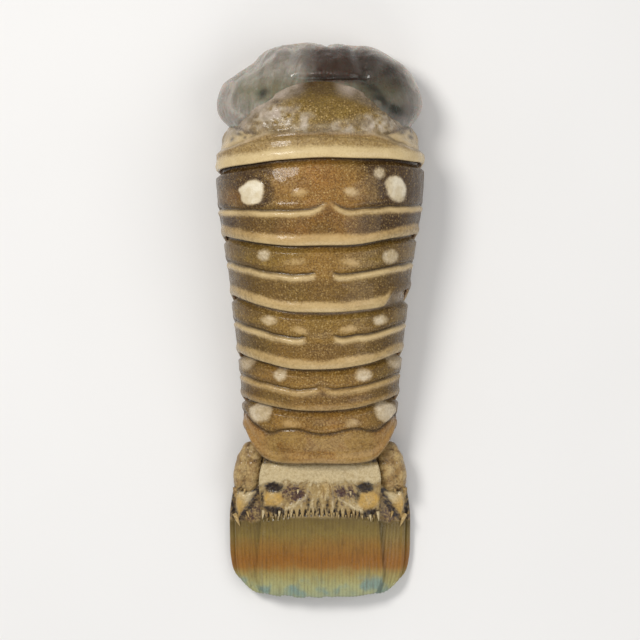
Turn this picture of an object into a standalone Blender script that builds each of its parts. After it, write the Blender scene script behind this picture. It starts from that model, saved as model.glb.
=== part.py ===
"""Raw warm-water (spiny) lobster tail, lying on its belly with the fan closed.

The head end, where the meat bulges out of the shell, points along +Y and the fan along -Y.
Lengths along the tail are stations, in millimetres behind the front of the meat. Distances
round the body are girth shares: 0 on the back's midline, -1 and +1 at the two lower edges.
"""

import math

import bmesh
import bpy
import numpy as np
from mathutils import Vector

MM = 0.001

# Driving dimensions, in millimetres.
TAIL_LENGTH = 160.0
SHELL_WALL = 0.9
OVERLAP_GAP = 0.35  # clear space between a ring and the one tucked under it
MEAT_GAP = 0.6  # clear space between the deepest part of the shell and the meat

# Body envelope: (station, value) pairs, joined by a smooth curve.
HALF_WIDTH = (
    (8, 26.5), (20, 29.0), (34, 29.2), (48, 28.6), (60, 26.6),
    (78, 24.4), (94, 22.6), (106, 21.6), (122, 20.4),
)
HEIGHT = ((8, 27.5), (22, 32.5), (34, 35.0), (50, 35.5), (70, 32.5), (90, 28.0), (106, 22.8), (122, 17.2))
HINGE_HEIGHT_SHARE = 0.32  # height of the side hinge line, as a share of the body's height
HINGE_GIRTH = 0.78  # girth share of the side hinge line
ARCH_WIDTH_POWER = 0.92
ARCH_HEIGHT_POWER = 0.82
FLAP_FLARE = 0.9  # how far the side flap swells out below the hinge line
FLAP_TUCK = 2.6  # how far the flap's tip turns in under the body

# Relief of a ring's outer face against the envelope.
TUCKED_DEPTH = SHELL_WALL + OVERLAP_GAP
CLEAR_OF_EDGE = 0.6  # a ring stays tucked this far beyond the edge that covers it
FULL_HEIGHT = 2.2  # and has risen to the envelope this far beyond it
RISEN_DEPTH = 0.2
SWELL = 0.45
RIDGE_LIFT = 0.6
RIDGE_REACH = 0.9  # from the bottom of a groove to the ridges on its sides
EDGE_LIFT = 0.55
EDGE_REACH = 1.3  # from the swollen rim to the rear edge itself
ROW_SPACING = 0.035  # least space between a ring's hidden rows, as a share of its length

GIRTH_STEPS = 28  # faces round a ring from one flap tip to the other

# Each shell ring: the stations of its front, transverse groove and rear edge on the midline,
# the groove's depth, how far the side of the rear edge lies ahead of its middle, the power that
# shapes this bow, how far its left end lies behind the right one, and its flap tip's station.
RINGS = (
    dict(front=11.2, groove=30.4, rear=34.5, cut=-0.4, bow=-1.6, power=2.0, skew=0.9, tip=39.5),
    dict(front=32.6, groove=49.0, rear=59.3, cut=0.35, bow=3.6, power=2.0, skew=0.4, tip=63.0),
    dict(front=53.6, groove=67.3, rear=78.1, cut=0.35, bow=4.8, power=2.0, skew=-0.4, tip=80.5),
    dict(front=72.4, groove=85.2, rear=94.1, cut=0.35, bow=5.0, power=2.0, skew=0.3, tip=95.5),
    dict(front=88.8, groove=99.9, rear=106.0, cut=0.3, bow=4.2, power=2.0, skew=0.2, tip=107.6),
    dict(front=102.2, groove=112.9, rear=121.2, cut=0.25, bow=10.0, power=6.4, skew=0.0, tip=115.2),
)
FLAP_TIP_LENGTH = 2.2
FLAP_REAR_POWER = 2.4
FLAP_FRONT_POWER = 1.5

# The smooth half-moon on the front of ring 1, which sat under the body shell.
HALF_MOON_SPREAD = 17.5  # how far its front edge falls back at the sides
HALF_MOON_POWER = 2.0
EAR_STATION = 24.8  # the side flaps' front ends reach this far forward, as two ears
EAR_BLEND = 1.6
STEP_STATION = 27.0  # where ring 1's raised band begins on the midline
STEP_BOW = 3.4

# Meat.
MEAT_REAR = 116.0
MEAT_BULGE_LENGTH = 27.0
MEAT_BULGE_POWER = 2.9
MEAT_TAPER_LENGTH = 9.0
MEAT_TAPER_POWER = 2.5
MEAT_HALF_WIDTH = ((0, 29.0), (13, 30.2), (19, 30.0), (22.4, 28.3), (24.8, 26.0), (27, 25.2), (40, 25.4))
MEAT_TOP = ((0, 24.5), (8, 25.4), (14, 25.4), (27, 28.0), (36, 30.6))
BELLY_HEIGHT = ((0, 4.0), (5, -0.9), (19, -0.9), (28, 4.0), (40, 5.2), (100, 5.0), (116, 5.6))
BELLY_RISE = 1.3  # how much higher the belly's middle is than its sides
BELLY_SQUARENESS = 0.62
BELLY_ARCHES = (20, 33)  # stations over which the flat spot it rests on turns into the arched belly
INTO_SHELL = (29, 42)  # stations over which the bulge narrows into the shell's own section

# Tail fan: height of its top surface on the midline, and its fall towards the sides.
FAN_TOP = ((116, 14.2), (124, 13.9), (137, 11.8), (149, 9.4), (160, 8.2))
FAN_DROOP = 0.0056  # per millimetre, times the distance from the midline squared
BLADE_THICKNESS = 0.9
BLADE_END_BOW = 2.2  # how far the corners of a blade's end lie ahead of its middle
TELSON_ROOT_THICKNESS = 2.6
TELSON_THINNING = (131, 140)  # stations over which the root plate thins into the blade
TELSON_HALF_WIDTH = ((116.5, 14.6), (122, 16.9), (137, 17.0), (149, 18.0), (156, 17.6), (160, 15.2))


def smooth_curve(pairs, at):
    """Value at a station, on a cubic curve that runs smoothly through (station, value) pairs."""
    stations, values = (np.array(column, float) for column in zip(*pairs))
    slopes = np.gradient(values, stations)
    at = np.clip(at, stations[0], stations[-1])
    i = np.clip(np.searchsorted(stations, at, side="right") - 1, 0, len(stations) - 2)
    span = stations[i + 1] - stations[i]
    t = (at - stations[i]) / span
    return (
        (2 * t**3 - 3 * t**2 + 1) * values[i]
        + (t**3 - 2 * t**2 + t) * span * slopes[i]
        + (3 * t**2 - 2 * t**3) * values[i + 1]
        + (t**3 - t**2) * span * slopes[i + 1]
    )


def ease(x, low, high):
    """Smooth step from 0 at low to 1 at high."""
    t = np.clip((x - low) / (high - low), 0, 1)
    return t * t * (3 - 2 * t)


def smaller_of(a, b, blend):
    """The smaller of two values, rounded off where they are within the blend of each other."""
    closeness = max(blend - abs(a - b), 0) / blend
    return min(a, b) - closeness**2 * blend / 4


def placed(x, station, z):
    """A point of the model, in metres, from millimetres across, behind the front and up."""
    return Vector((x * MM, (TAIL_LENGTH / 2 - station) * MM, z * MM))


def envelope(girth, station):
    """Smooth outer surface of the body: an arch over the back, then a flap down each side."""
    side = math.copysign(1, girth)
    share = abs(girth)
    width = smooth_curve(HALF_WIDTH, station)
    height = smooth_curve(HEIGHT, station)
    hinge = HINGE_HEIGHT_SHARE * height
    angle = min(share / HINGE_GIRTH, 1) * math.pi / 2
    down = max(share - HINGE_GIRTH, 0) / (1 - HINGE_GIRTH)
    x = width * math.sin(angle) ** ARCH_WIDTH_POWER
    x += FLAP_FLARE * math.sin(math.pi * down) - FLAP_TUCK * down**2
    z = hinge + (height - hinge) * max(math.cos(angle), 0) ** ARCH_HEIGHT_POWER - hinge * down
    return np.array((side * x, -station, z))


def shell_point(girth, station, depth):
    """A point the given depth outside the envelope, measured square to it."""
    nudge = 0.004
    near = max(abs(girth), nudge) * math.copysign(1, girth)
    across = envelope(near + nudge, station) - envelope(near - nudge, station)
    along = envelope(near, station + 0.2) - envelope(near, station - 0.2)
    normal = np.cross(along, across)
    if abs(girth) < nudge:
        normal[0] = 0
    normal /= np.linalg.norm(normal)
    point = envelope(girth, station) + depth * normal
    return placed(point[0], -point[1], point[2])


def flap_share(girth):
    """0 down to the hinge line, then up to 1 at the tip of the side flap."""
    return max(abs(girth) - HINGE_GIRTH, 0) / (1 - HINGE_GIRTH)


def arch_share(girth):
    """0 on the midline, rising to 1 at the hinge line, as the envelope's width does."""
    return math.sin(min(abs(girth) / HINGE_GIRTH, 1) * math.pi / 2)


def rear_edge(ring, girth):
    """Station of a ring's rear edge: bowed over the back, swept to a tip on the side flap."""
    out = arch_share(girth)
    station = ring["rear"] - ring["bow"] * out ** ring["power"]
    station -= ring["skew"] * math.copysign(out, girth)
    return station + (ring["tip"] - station) * flap_share(girth) ** FLAP_REAR_POWER


def front_edge(index, girth):
    """Station of a ring's front edge: parallel to the edge that covers it or, on ring 1, a half-moon."""
    ring = RINGS[index]
    if index:
        station = rear_edge(RINGS[index - 1], girth) + ring["front"] - RINGS[index - 1]["rear"]
    else:
        moon = ring["front"] + HALF_MOON_SPREAD * arch_share(girth) ** HALF_MOON_POWER
        station = smaller_of(moon, EAR_STATION, EAR_BLEND)
    end = ring["tip"] - FLAP_TIP_LENGTH
    return station + (end - station) * flap_share(girth) ** FLAP_FRONT_POWER


def cover_edge(index, girth):
    """Station up to which something ahead lies, or on ring 1 lay, over the ring."""
    if index:
        return rear_edge(RINGS[index - 1], girth)
    return STEP_STATION + STEP_BOW * arch_share(girth) ** 2


def groove_line(index, girth):
    """Station of the transverse groove: between the cover's edge and the ring's own rear edge."""
    ring = RINGS[index]
    start, end = cover_edge(index, 0), ring["rear"]
    share = (ring["groove"] - start) / (end - start)
    return cover_edge(index, girth) * (1 - share) + rear_edge(ring, girth) * share


def ring_rows(index, girth):
    """(station, depth) of each row of a ring's grid at one girth, from its front edge to its rear."""
    ring = RINGS[index]
    front, rear = front_edge(index, girth), rear_edge(ring, girth)
    cover, groove = cover_edge(index, girth), groove_line(index, girth)
    fade = ease(flap_share(girth), 0.0, 0.5)
    hidden = (
        (front, -TUCKED_DEPTH),
        (0.5 * (front + cover), -TUCKED_DEPTH),
        (cover + CLEAR_OF_EDGE, -TUCKED_DEPTH),
        (cover + FULL_HEIGHT, RISEN_DEPTH),
    )
    shown = (
        (0.5 * (cover + FULL_HEIGHT + groove - RIDGE_REACH), SWELL),
        (groove - RIDGE_REACH, 0.8 * SWELL),
        (groove, -ring["cut"]),
        (groove + RIDGE_REACH, RIDGE_LIFT),
        (0.5 * (groove + RIDGE_REACH + rear - EDGE_REACH), RISEN_DEPTH),
        (rear - EDGE_REACH, EDGE_LIFT),
        (rear, 0.5 * EDGE_LIFT),
    )
    step = ROW_SPACING * (rear - front)
    rows = []
    for row, (station, depth) in enumerate(hidden):
        at = max(station, front + row * step)
        exposed = ease(at - cover, CLEAR_OF_EDGE, FULL_HEIGHT)
        rows.append((at, -TUCKED_DEPTH * (1 - exposed) + depth * exposed * (1 - fade)))
    last = rows[-1][0]
    for row, (station, depth) in enumerate(shown):
        even = last + (rear - last) * (row + 1) / len(shown)
        rows.append((station * (1 - fade) + even * fade, depth * (1 - fade)))
    return rows


def new_object(name, mesh_builder, material, collection):
    """An object whose mesh comes from a bmesh function, linked to the model's collection."""
    mesh = bpy.data.meshes.new(name)
    cage = bmesh.new()
    mesh_builder(cage)
    cage.to_mesh(mesh)
    cage.free()
    obj = bpy.data.objects.new(name, mesh)
    mesh.materials.append(material)
    mesh.shade_smooth()
    collection.objects.link(obj)
    return obj


def grid_of(cage, columns, rows, point_at):
    """A grid primitive whose vertices are moved to point_at(column share, row share)."""
    bmesh.ops.create_grid(cage, x_segments=columns, y_segments=rows, size=0.5)
    for vertex in cage.verts:
        across, along = vertex.co.x + 0.5, vertex.co.y + 0.5
        vertex.co = point_at(across, along)


def thicken(obj, wall, group=None, least=1.0):
    """Gives an open surface its wall, inwards from its outer face."""
    wall_modifier = obj.modifiers.new("wall", "SOLIDIFY")
    wall_modifier.thickness = wall * MM
    wall_modifier.offset = -1.0
    wall_modifier.use_even_offset = False
    if group:
        wall_modifier.vertex_group = group
        wall_modifier.thickness_vertex_group = least


def face_up(cage):
    """Turns an open sheet's faces so that they look up."""
    bmesh.ops.recalc_face_normals(cage, faces=cage.faces)
    total = sum((face.normal * face.calc_area() for face in cage.faces), Vector())
    if total.z < 0:
        bmesh.ops.reverse_faces(cage, faces=cage.faces)


def face_outwards(cage):
    """Turns a closed body's faces outwards."""
    bmesh.ops.recalc_face_normals(cage, faces=cage.faces)
    if cage.calc_volume(signed=True) < 0:
        bmesh.ops.reverse_faces(cage, faces=cage.faces)


def make_ring(index, material, collection):
    """One armour ring: back plate and both side flaps in one piece."""
    columns = [2 * i / GIRTH_STEPS - 1 for i in range(GIRTH_STEPS + 1)]
    rows_at = [ring_rows(index, girth) for girth in columns]
    row_count = len(rows_at[0]) - 1

    def point_at(across, along):
        column = round(across * GIRTH_STEPS)
        station, depth = rows_at[column][round(along * row_count)]
        return shell_point(columns[column], station, depth)

    def build(cage):
        grid_of(cage, GIRTH_STEPS, row_count, point_at)
        face_up(cage)

    obj = new_object(f"shell_ring_{index + 1}", build, material, collection)
    thicken(obj, SHELL_WALL)


def meat_bulge(station):
    """Share of the full section that the meat has this near its rounded front and rear ends."""
    front = max(MEAT_BULGE_LENGTH - station, 0) / MEAT_BULGE_LENGTH
    rear = max(station - (MEAT_REAR - MEAT_TAPER_LENGTH), 0) / MEAT_TAPER_LENGTH
    return max(1 - front**MEAT_BULGE_POWER - rear**MEAT_TAPER_POWER, 0) ** (1 / MEAT_BULGE_POWER)


def meat_point(around, station):
    """Surface of the meat: an arch above, a flat belly below. Around is a share of the full turn."""
    inset = SHELL_WALL + TUCKED_DEPTH + MEAT_GAP
    width = smooth_curve(HALF_WIDTH, station) - inset
    height = smooth_curve(HEIGHT, station) - inset
    blend = ease(station, *INTO_SHELL)
    width = blend * width + (1 - blend) * smooth_curve(MEAT_HALF_WIDTH, station)
    height = blend * height + (1 - blend) * smooth_curve(MEAT_TOP, station)
    belly = smooth_curve(BELLY_HEIGHT, station)
    middle = HINGE_HEIGHT_SHARE * smooth_curve(HEIGHT, station)
    share = meat_bulge(station)
    angle = 2 * math.pi * around
    cosine, sine = math.cos(angle), math.sin(angle)
    if sine >= 0:
        x = width * math.copysign(abs(cosine) ** ARCH_WIDTH_POWER, cosine)
        z = middle + (height - middle) * sine**ARCH_HEIGHT_POWER * share
    else:
        x = width * math.copysign(abs(cosine) ** BELLY_SQUARENESS, cosine)
        floor = belly + BELLY_RISE * sine**2 * ease(station, *BELLY_ARCHES)
        z = middle - (middle - floor) * abs(sine) ** BELLY_SQUARENESS * share**0.5
    return placed(x * share, station, max(z, 0.0))


def make_meat(material, collection):
    """The meat in one solid: the bulging cut end, and the core that runs through all rings."""

    def build(cage):
        bmesh.ops.create_uvsphere(cage, u_segments=30, v_segments=24, radius=1.0)
        for vertex in cage.verts:
            polar = math.acos(max(-1.0, min(1.0, vertex.co.z)))
            around = math.atan2(vertex.co.y, vertex.co.x) / (2 * math.pi)
            station = MEAT_REAR * (1 - math.cos(math.pi - polar)) / 2
            vertex.co = meat_point(around, station)
        face_outwards(cage)

    new_object("tail_meat", build, material, collection)


def fan_height(x, station, depth):
    """Height at a point of the fan: the midline's profile, drooping to the sides, less a depth."""
    return smooth_curve(FAN_TOP, station) - FAN_DROOP * x * x - depth


def make_telson(material, collection):
    """Middle blade of the fan: a thick root plate running out into a thin, square-ended blade."""
    first, last = TELSON_HALF_WIDTH[0][0], TELSON_HALF_WIDTH[-1][0]

    def point_at(across, along):
        station = first + (last - first) * along
        out = 2 * across - 1
        x = out * smooth_curve(TELSON_HALF_WIDTH, station)
        station -= BLADE_END_BOW * abs(out) ** 4 * along**4
        return placed(x, station, fan_height(x, station, 0))

    def build(cage):
        grid_of(cage, 14, 12, point_at)
        face_up(cage)

    obj = new_object("telson", build, material, collection)
    root = obj.vertex_groups.new(name="root")
    for vertex in obj.data.vertices:
        station = TAIL_LENGTH / 2 - vertex.co.y / MM
        weight = 1 - float(ease(station, *TELSON_THINNING))
        root.add([vertex.index], weight, "REPLACE")
    thicken(obj, TELSON_ROOT_THICKNESS, "root", BLADE_THICKNESS / TELSON_ROOT_THICKNESS)


# Side blades of the fan, for the right side: root and tip as (across, station), half widths
# along the blade, and the depth below the fan's top surface at the root and at the tip.
SIDE_BLADES = (
    dict(
        name="inner_blade",
        root=(19.4, 130.3),
        tip=(15.0, 159.2),
        half_width=((0, 3.4), (0.18, 5.6), (0.45, 7.2), (0.75, 8.0), (0.92, 7.4), (1, 5.6)),
        depth=(3.6, 1.6),
    ),
    dict(
        name="outer_blade",
        root=(22.0, 130.0),
        tip=(16.8, 157.8),
        half_width=((0, 3.6), (0.18, 5.4), (0.45, 6.8), (0.75, 7.6), (0.92, 7.0), (1, 5.2)),
        depth=(6.2, 3.2),
    ),
)


def make_side_blade(blade, side, material, collection):
    """One side blade: a leaf that widens from its root and rounds off square at the end."""
    (root_x, root_at), (tip_x, tip_at) = blade["root"], blade["tip"]
    root_depth, tip_depth = blade["depth"]

    def point_at(across, along):
        out = 2 * across - 1
        x = root_x + (tip_x - root_x) * along + out * smooth_curve(blade["half_width"], along)
        station = root_at + (tip_at - root_at) * along
        station -= BLADE_END_BOW * abs(out) ** 4 * along**4
        depth = root_depth + (tip_depth - root_depth) * ease(along, 0, 0.8)
        return placed(side * x, station, fan_height(x, station, depth))

    def build(cage):
        grid_of(cage, 8, 9, point_at)
        face_up(cage)

    end = "left" if side < 0 else "right"
    obj = new_object(f"{blade['name']}_{end}", build, material, collection)
    thicken(obj, BLADE_THICKNESS)


# Stalk that carries the two blades of one side.
STALK_CENTRE = (20.8, 122.3, 6.6)
STALK_HALF_SIZE = (4.9, 7.4, 4.1)
STALK_SQUARENESS = 0.72
STALK_LEAN = 0.12


def make_stalk(side, material, collection):
    """Short, blocky stalk between the last ring and the side blades."""

    def build(cage):
        bmesh.ops.create_uvsphere(cage, u_segments=14, v_segments=10, radius=1.0)
        for vertex in cage.verts:
            squared = [math.copysign(abs(c) ** STALK_SQUARENESS, c) for c in vertex.co]
            across, along, up = (c * half for c, half in zip(squared, STALK_HALF_SIZE))
            x = STALK_CENTRE[0] + across - STALK_LEAN * along
            vertex.co = placed(side * x, STALK_CENTRE[1] - along, STALK_CENTRE[2] + up + STALK_LEAN * along)
        face_outwards(cage)

    end = "left" if side < 0 else "right"
    new_object(f"fan_stalk_{end}", build, material, collection)


# Belly: one cross bar for each of the first five rings, and four pairs of swimmerets.
BAR_RADIUS = 0.9
BAR_GAP = 0.55  # clear space between the belly and a bar
BAR_SPREAD = 0.78  # reach of a bar's ends, as a share of the body's half width
BAR_SWEEP = 1.6  # how far a bar's ends lie ahead of its middle
BAR_POINTS = 9
BAR_AHEAD = 2.0  # how far a bar lies ahead of its ring's rear edge
SWIMMERET_LENGTHS = {2: 16.5, 3: 14.8, 4: 11.4, 5: 11.0}
SWIMMERET_HALF_WIDTH = 4.6
SWIMMERET_WALL = 0.6
SWIMMERET_SLANT = math.radians(24)
SWIMMERET_ROOT = 0.62  # place of a root across the body, as a share of its half width
SWIMMERET_TOP = 2.0


def belly_height(x, station):
    """Height of the meat's underside at a point."""
    width = smooth_curve(HALF_WIDTH, station)
    rise = BELLY_RISE * max(1 - (x / width) ** 2, 0)
    return smooth_curve(BELLY_HEIGHT, station) + rise


def bar_station(ring):
    """A cross bar lies under the rear part of its ring."""
    return ring["rear"] - 0.4 * ring["bow"] - BAR_AHEAD


def make_cross_bar(number, material, collection):
    """Thin bar across the belly that joins the two flaps of a ring."""
    station = bar_station(RINGS[number - 1])
    reach = BAR_SPREAD * smooth_curve(HALF_WIDTH, station)
    line = bpy.data.curves.new(f"cross_bar_{number}", "CURVE")
    line.dimensions = "3D"
    line.bevel_depth = BAR_RADIUS * MM
    line.bevel_resolution = 1
    line.use_fill_caps = True
    spline = line.splines.new("POLY")
    spline.points.add(BAR_POINTS - 1)
    for i, point in enumerate(spline.points):
        out = 2 * i / (BAR_POINTS - 1) - 1
        z = belly_height(out * reach, station) - BAR_RADIUS - BAR_GAP - 0.4 * out**2
        point.co = (*placed(out * reach, station - BAR_SWEEP * out**2, z), 1.0)
    obj = bpy.data.objects.new(line.name, line)
    line.materials.append(material)
    collection.objects.link(obj)


def make_swimmeret(number, side, material, collection):
    """Leaf-shaped swimmeret that lies back and inwards against the belly."""
    start = bar_station(RINGS[number - 1]) + BAR_RADIUS + 0.5
    root_x = SWIMMERET_ROOT * smooth_curve(HALF_WIDTH, start)

    def point_at(across, along):
        out = 2 * across - 1
        leaf = math.sin(math.pi * (0.12 + 0.8 * along) ** 0.85) ** 0.7
        forward = along * SWIMMERET_LENGTHS[number]
        sideways = out * SWIMMERET_HALF_WIDTH * leaf
        x = root_x - forward * math.sin(SWIMMERET_SLANT) + sideways * math.cos(SWIMMERET_SLANT)
        station = start + forward * math.cos(SWIMMERET_SLANT) + sideways * math.sin(SWIMMERET_SLANT)
        return placed(side * x, station, SWIMMERET_TOP - along + 0.35 * out**2)

    def build(cage):
        grid_of(cage, 4, 6, point_at)
        face_up(cage)

    end = "left" if side < 0 else "right"
    obj = new_object(f"swimmeret_{number}_{end}", build, material, collection)
    thicken(obj, SWIMMERET_WALL)


def principled(name, colour, roughness, metallic=0.0):
    """A material of one colour, roughness and metallic value."""
    material = bpy.data.materials.new(name)
    material.use_nodes = True
    shader = material.node_tree.nodes["Principled BSDF"]
    shader.inputs["Base Color"].default_value = (*colour, 1.0)
    shader.inputs["Roughness"].default_value = roughness
    shader.inputs["Metallic"].default_value = metallic
    material.diffuse_color = (*colour, 1.0)
    return material


def main():
    for obj in list(bpy.data.objects):
        bpy.data.objects.remove(obj)
    collection = bpy.data.collections.new("spiny_lobster_tail")
    bpy.context.scene.collection.children.link(collection)

    shell = principled("shell_olive_brown", (0.25, 0.14, 0.046), 0.35)
    meat = principled("meat_white", (0.55, 0.50, 0.44), 0.4)
    fan = principled("fan_amber", (0.36, 0.20, 0.06), 0.38)
    joint = principled("belly_cream", (0.60, 0.44, 0.24), 0.45)

    make_meat(meat, collection)
    for index in range(len(RINGS)):
        make_ring(index, shell, collection)
    make_telson(fan, collection)
    for side in (-1, 1):
        make_stalk(side, joint, collection)
        for blade in SIDE_BLADES:
            make_side_blade(blade, side, fan, collection)
    for number in range(1, len(RINGS)):
        make_cross_bar(number, joint, collection)
    for number in SWIMMERET_LENGTHS:
        for side in (-1, 1):
            make_swimmeret(number, side, joint, collection)


main()
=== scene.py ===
import math

import bpy
import numpy as np
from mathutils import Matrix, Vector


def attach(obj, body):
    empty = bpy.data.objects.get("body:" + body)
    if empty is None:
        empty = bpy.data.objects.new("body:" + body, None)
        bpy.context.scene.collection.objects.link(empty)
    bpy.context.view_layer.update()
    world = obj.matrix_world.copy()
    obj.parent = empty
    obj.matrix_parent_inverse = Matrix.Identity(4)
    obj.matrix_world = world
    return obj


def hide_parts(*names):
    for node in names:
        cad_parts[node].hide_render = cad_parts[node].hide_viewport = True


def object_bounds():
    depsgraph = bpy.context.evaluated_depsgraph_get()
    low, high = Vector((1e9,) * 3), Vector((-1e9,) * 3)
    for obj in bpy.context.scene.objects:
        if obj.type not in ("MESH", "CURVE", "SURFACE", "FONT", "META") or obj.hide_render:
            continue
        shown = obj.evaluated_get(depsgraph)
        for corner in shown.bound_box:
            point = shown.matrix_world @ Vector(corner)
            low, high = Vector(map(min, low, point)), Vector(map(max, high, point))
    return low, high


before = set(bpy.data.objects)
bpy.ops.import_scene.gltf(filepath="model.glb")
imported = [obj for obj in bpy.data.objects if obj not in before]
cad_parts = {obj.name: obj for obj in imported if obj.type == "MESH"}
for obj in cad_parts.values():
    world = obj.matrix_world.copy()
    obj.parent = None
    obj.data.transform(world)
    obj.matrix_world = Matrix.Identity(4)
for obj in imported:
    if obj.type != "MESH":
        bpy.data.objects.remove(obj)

cadLow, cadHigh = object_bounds()

# Lengths are in millimetres. A station is the distance behind the front of the meat, and a girth
# runs round the back from -1 at the left lower edge to 1 at the right one.
body = {
    "length": 160.0,
    "halfWidth": ((8, 26.5), (20, 29.0), (34, 29.2), (48, 28.6), (60, 26.6),
                  (78, 24.4), (94, 22.6), (106, 21.6), (122, 20.4)),
    "height": ((8, 27.5), (22, 32.5), (34, 35.0), (50, 35.5), (70, 32.5),
               (90, 28.0), (106, 22.8), (122, 17.2)),
    "hingeHeight": 0.32,  # of the height
    "hingeGirth": 0.78,
    "widthPower": 0.92,
    "heightPower": 0.82,
    "flare": 0.9,
    "tuck": 2.6,
    "girthLength": 50.0,  # millimetres of skin to one unit of girth, for noise and edge distances
}
mm = (cadHigh.y - cadLow.y) / body["length"]


# Shape helpers, all on whole arrays

def ramp(x, low, high):
    # smooth step: 0 below low, 1 above high, three t squared less two t cubed between
    t = np.clip((x - low) / (high - low), 0, 1)
    return t * t * (3 - 2 * t)


def fade(x, low, high):
    # the same step downwards, from 1 to 0
    return 1 - ramp(x, low, high)


def hump(x, width):
    # bell: e to the minus square of x over the width
    return np.exp(-((x / width) ** 2))


def humps(x, *rows):
    # sum of bells, each a height, a place and a width
    return sum(height * hump(x - place, width) for height, place, width in rows)


def window(x, start, full, fading, end):
    # 1 from full to fading, and smoothly down to 0 at start and end
    return ramp(x, start, full) * fade(x, fading, end)


def signedPower(x, power):
    # size of x to a power, with the sign of x
    return np.sign(x) * np.abs(x) ** power


def roundOff(distance, radius):
    # quarter circle: how far a rounded edge has fallen at a distance inside it
    short = radius - np.clip(distance, 0, radius)
    return radius - np.sqrt(np.maximum(radius**2 - short**2, 0))


def crowded(count, ends=0.6):
    # shares from 0 to 1, closer together at both ends: t less a sine of one whole turn
    t = np.linspace(0, 1, count)
    return t - ends * np.sin(2 * np.pi * t) / (2 * np.pi)


def leafGrid(rows, columns, alongEnds, outEnds):
    # shares along from 0 to 1 in a column, and places across from -1 to 1 in a row
    return crowded(rows, alongEnds)[:, None], crowded(columns, outEnds)[None, :] * 2 - 1


def circle(count, way=1):
    # cosine and sine of equal steps round a circle, in a row
    angle = way * np.arange(count)[None, :] * 2 * np.pi / count
    return np.cos(angle), np.sin(angle)


def smoothCurve(pairs, at):
    # cubic through (station, value) pairs, its slope at each pair taken from the two neighbours
    stations, values = (np.array(column, float) for column in zip(*pairs))
    slopes = np.gradient(values, stations)
    at = np.clip(at, stations[0], stations[-1])
    i = np.clip(np.searchsorted(stations, at, side="right") - 1, 0, len(stations) - 2)
    span = stations[i + 1] - stations[i]
    t = (at - stations[i]) / span
    return (
        (2 * t**3 - 3 * t**2 + 1) * values[i]
        + (t**3 - 2 * t**2 + t) * span * slopes[i]
        + (3 * t**2 - 2 * t**3) * values[i + 1]
        + (t**3 - t**2) * span * slopes[i + 1]
    )


def patchNoise(u, v, cell, seed):
    # value noise from -1 to 1: random heights on a square lattice, joined by smooth steps. With a
    # plain 0 for u or v it changes along the other one only.
    table = np.random.default_rng(seed).uniform(-1, 1, (64, 64))
    a, b = u / cell + 640.0, v / cell + 640.0
    i, j = np.floor(a).astype(int), np.floor(b).astype(int)
    p, q = a - i, b - j
    p, q = p * p * (3 - 2 * p), q * q * (3 - 2 * q)
    i0, i1, j0, j1 = i % 64, (i + 1) % 64, j % 64, (j + 1) % 64
    near = table[i0, j0] * (1 - p) + table[i1, j0] * p
    far = table[i0, j1] * (1 - p) + table[i1, j1] * p
    return near * (1 - q) + far * q


def wear(u, v, cell, seed):
    # the same noise from 0 to 1
    return 0.5 + 0.5 * patchNoise(u, v, cell, seed)


def lumpy(u, v, *layers):
    # sum of noises, each layer a height, a cell and a seed
    return sum(height * patchNoise(u, v, cell, seed) for height, cell, seed in layers)


def spotReach(x, s, spot, ragged=0.14):
    # tilted oval: 0 at its middle, 1 on its uneven rim; a spot is x, station, width, length, tilt
    cx, cs, width, length, tilt = spot
    turn = math.radians(tilt)
    a = ((x - cx) * math.cos(turn) + (s - cs) * math.sin(turn)) / (width / 2)
    b = ((s - cs) * math.cos(turn) - (x - cx) * math.sin(turn)) / (length / 2)
    return np.sqrt(a * a + b * b) + ragged * patchNoise(x, s, 1.6, 5)


def blobs(x, s, spots, soft):
    # 1 inside any of the spots, 0 outside, over a soft rim of that many millimetres
    widths = [soft / min(spot[2], spot[3]) * 2 for spot in spots]
    return np.maximum.reduce([ramp(1 - spotReach(x, s, spot), -w, w) for spot, w in zip(spots, widths)])


def lineDistance(x, s, start, end):
    # distance to a straight line piece: to the nearest place on it, no further than its ends
    dx, ds = end[0] - start[0], end[1] - start[1]
    share = np.clip(((x - start[0]) * dx + (s - start[1]) * ds) / (dx * dx + ds * ds), 0, 1)
    return np.hypot(x - start[0] - share * dx, s - start[1] - share * ds)


def envelope(g, s):
    # body hull: half a superellipse over the back, then a flap that drops and tucks in
    share = np.abs(g)
    width, height = smoothCurve(body["halfWidth"], s), smoothCurve(body["height"], s)
    hinge = body["hingeHeight"] * height
    angle = np.minimum(share / body["hingeGirth"], 1) * np.pi / 2
    down = np.maximum(share - body["hingeGirth"], 0) / (1 - body["hingeGirth"])
    x = width * np.sin(angle) ** body["widthPower"]
    x = x + body["flare"] * np.sin(np.pi * down) - body["tuck"] * down**2
    z = hinge + (height - hinge) * np.maximum(np.cos(angle), 0) ** body["heightPower"] - hinge * down
    return np.stack((np.sign(g) * x, -s, z), -1)


def hullPoint(g, s, depth):
    # hull point moved outwards by depth, square to the hull
    nudge = 0.004
    near = np.where(np.abs(g) < nudge, np.where(g < 0, -nudge, nudge), g)
    across = envelope(near + nudge, s) - envelope(near - nudge, s)
    along = envelope(near, s + 0.2) - envelope(near, s - 0.2)
    normal = np.cross(along, across)
    normal[..., 0] = np.where(np.abs(g) < nudge, 0, normal[..., 0])
    normal /= np.linalg.norm(normal, axis=-1, keepdims=True)
    return envelope(g, s) + depth[..., None] * normal


def pushOut(points, push):
    # grid that runs round in its columns, moved along its normals, the cross products of its slopes
    padded = np.concatenate((points[:, -1:], points, points[:, :1]), 1)
    normal = np.cross(np.gradient(padded, axis=0), np.gradient(padded, axis=1))[:, 1:-1]
    normal = normal / np.maximum(np.linalg.norm(normal, axis=-1, keepdims=True), 1e-9)
    return points + push[..., None] * normal


# Mesh helpers

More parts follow.
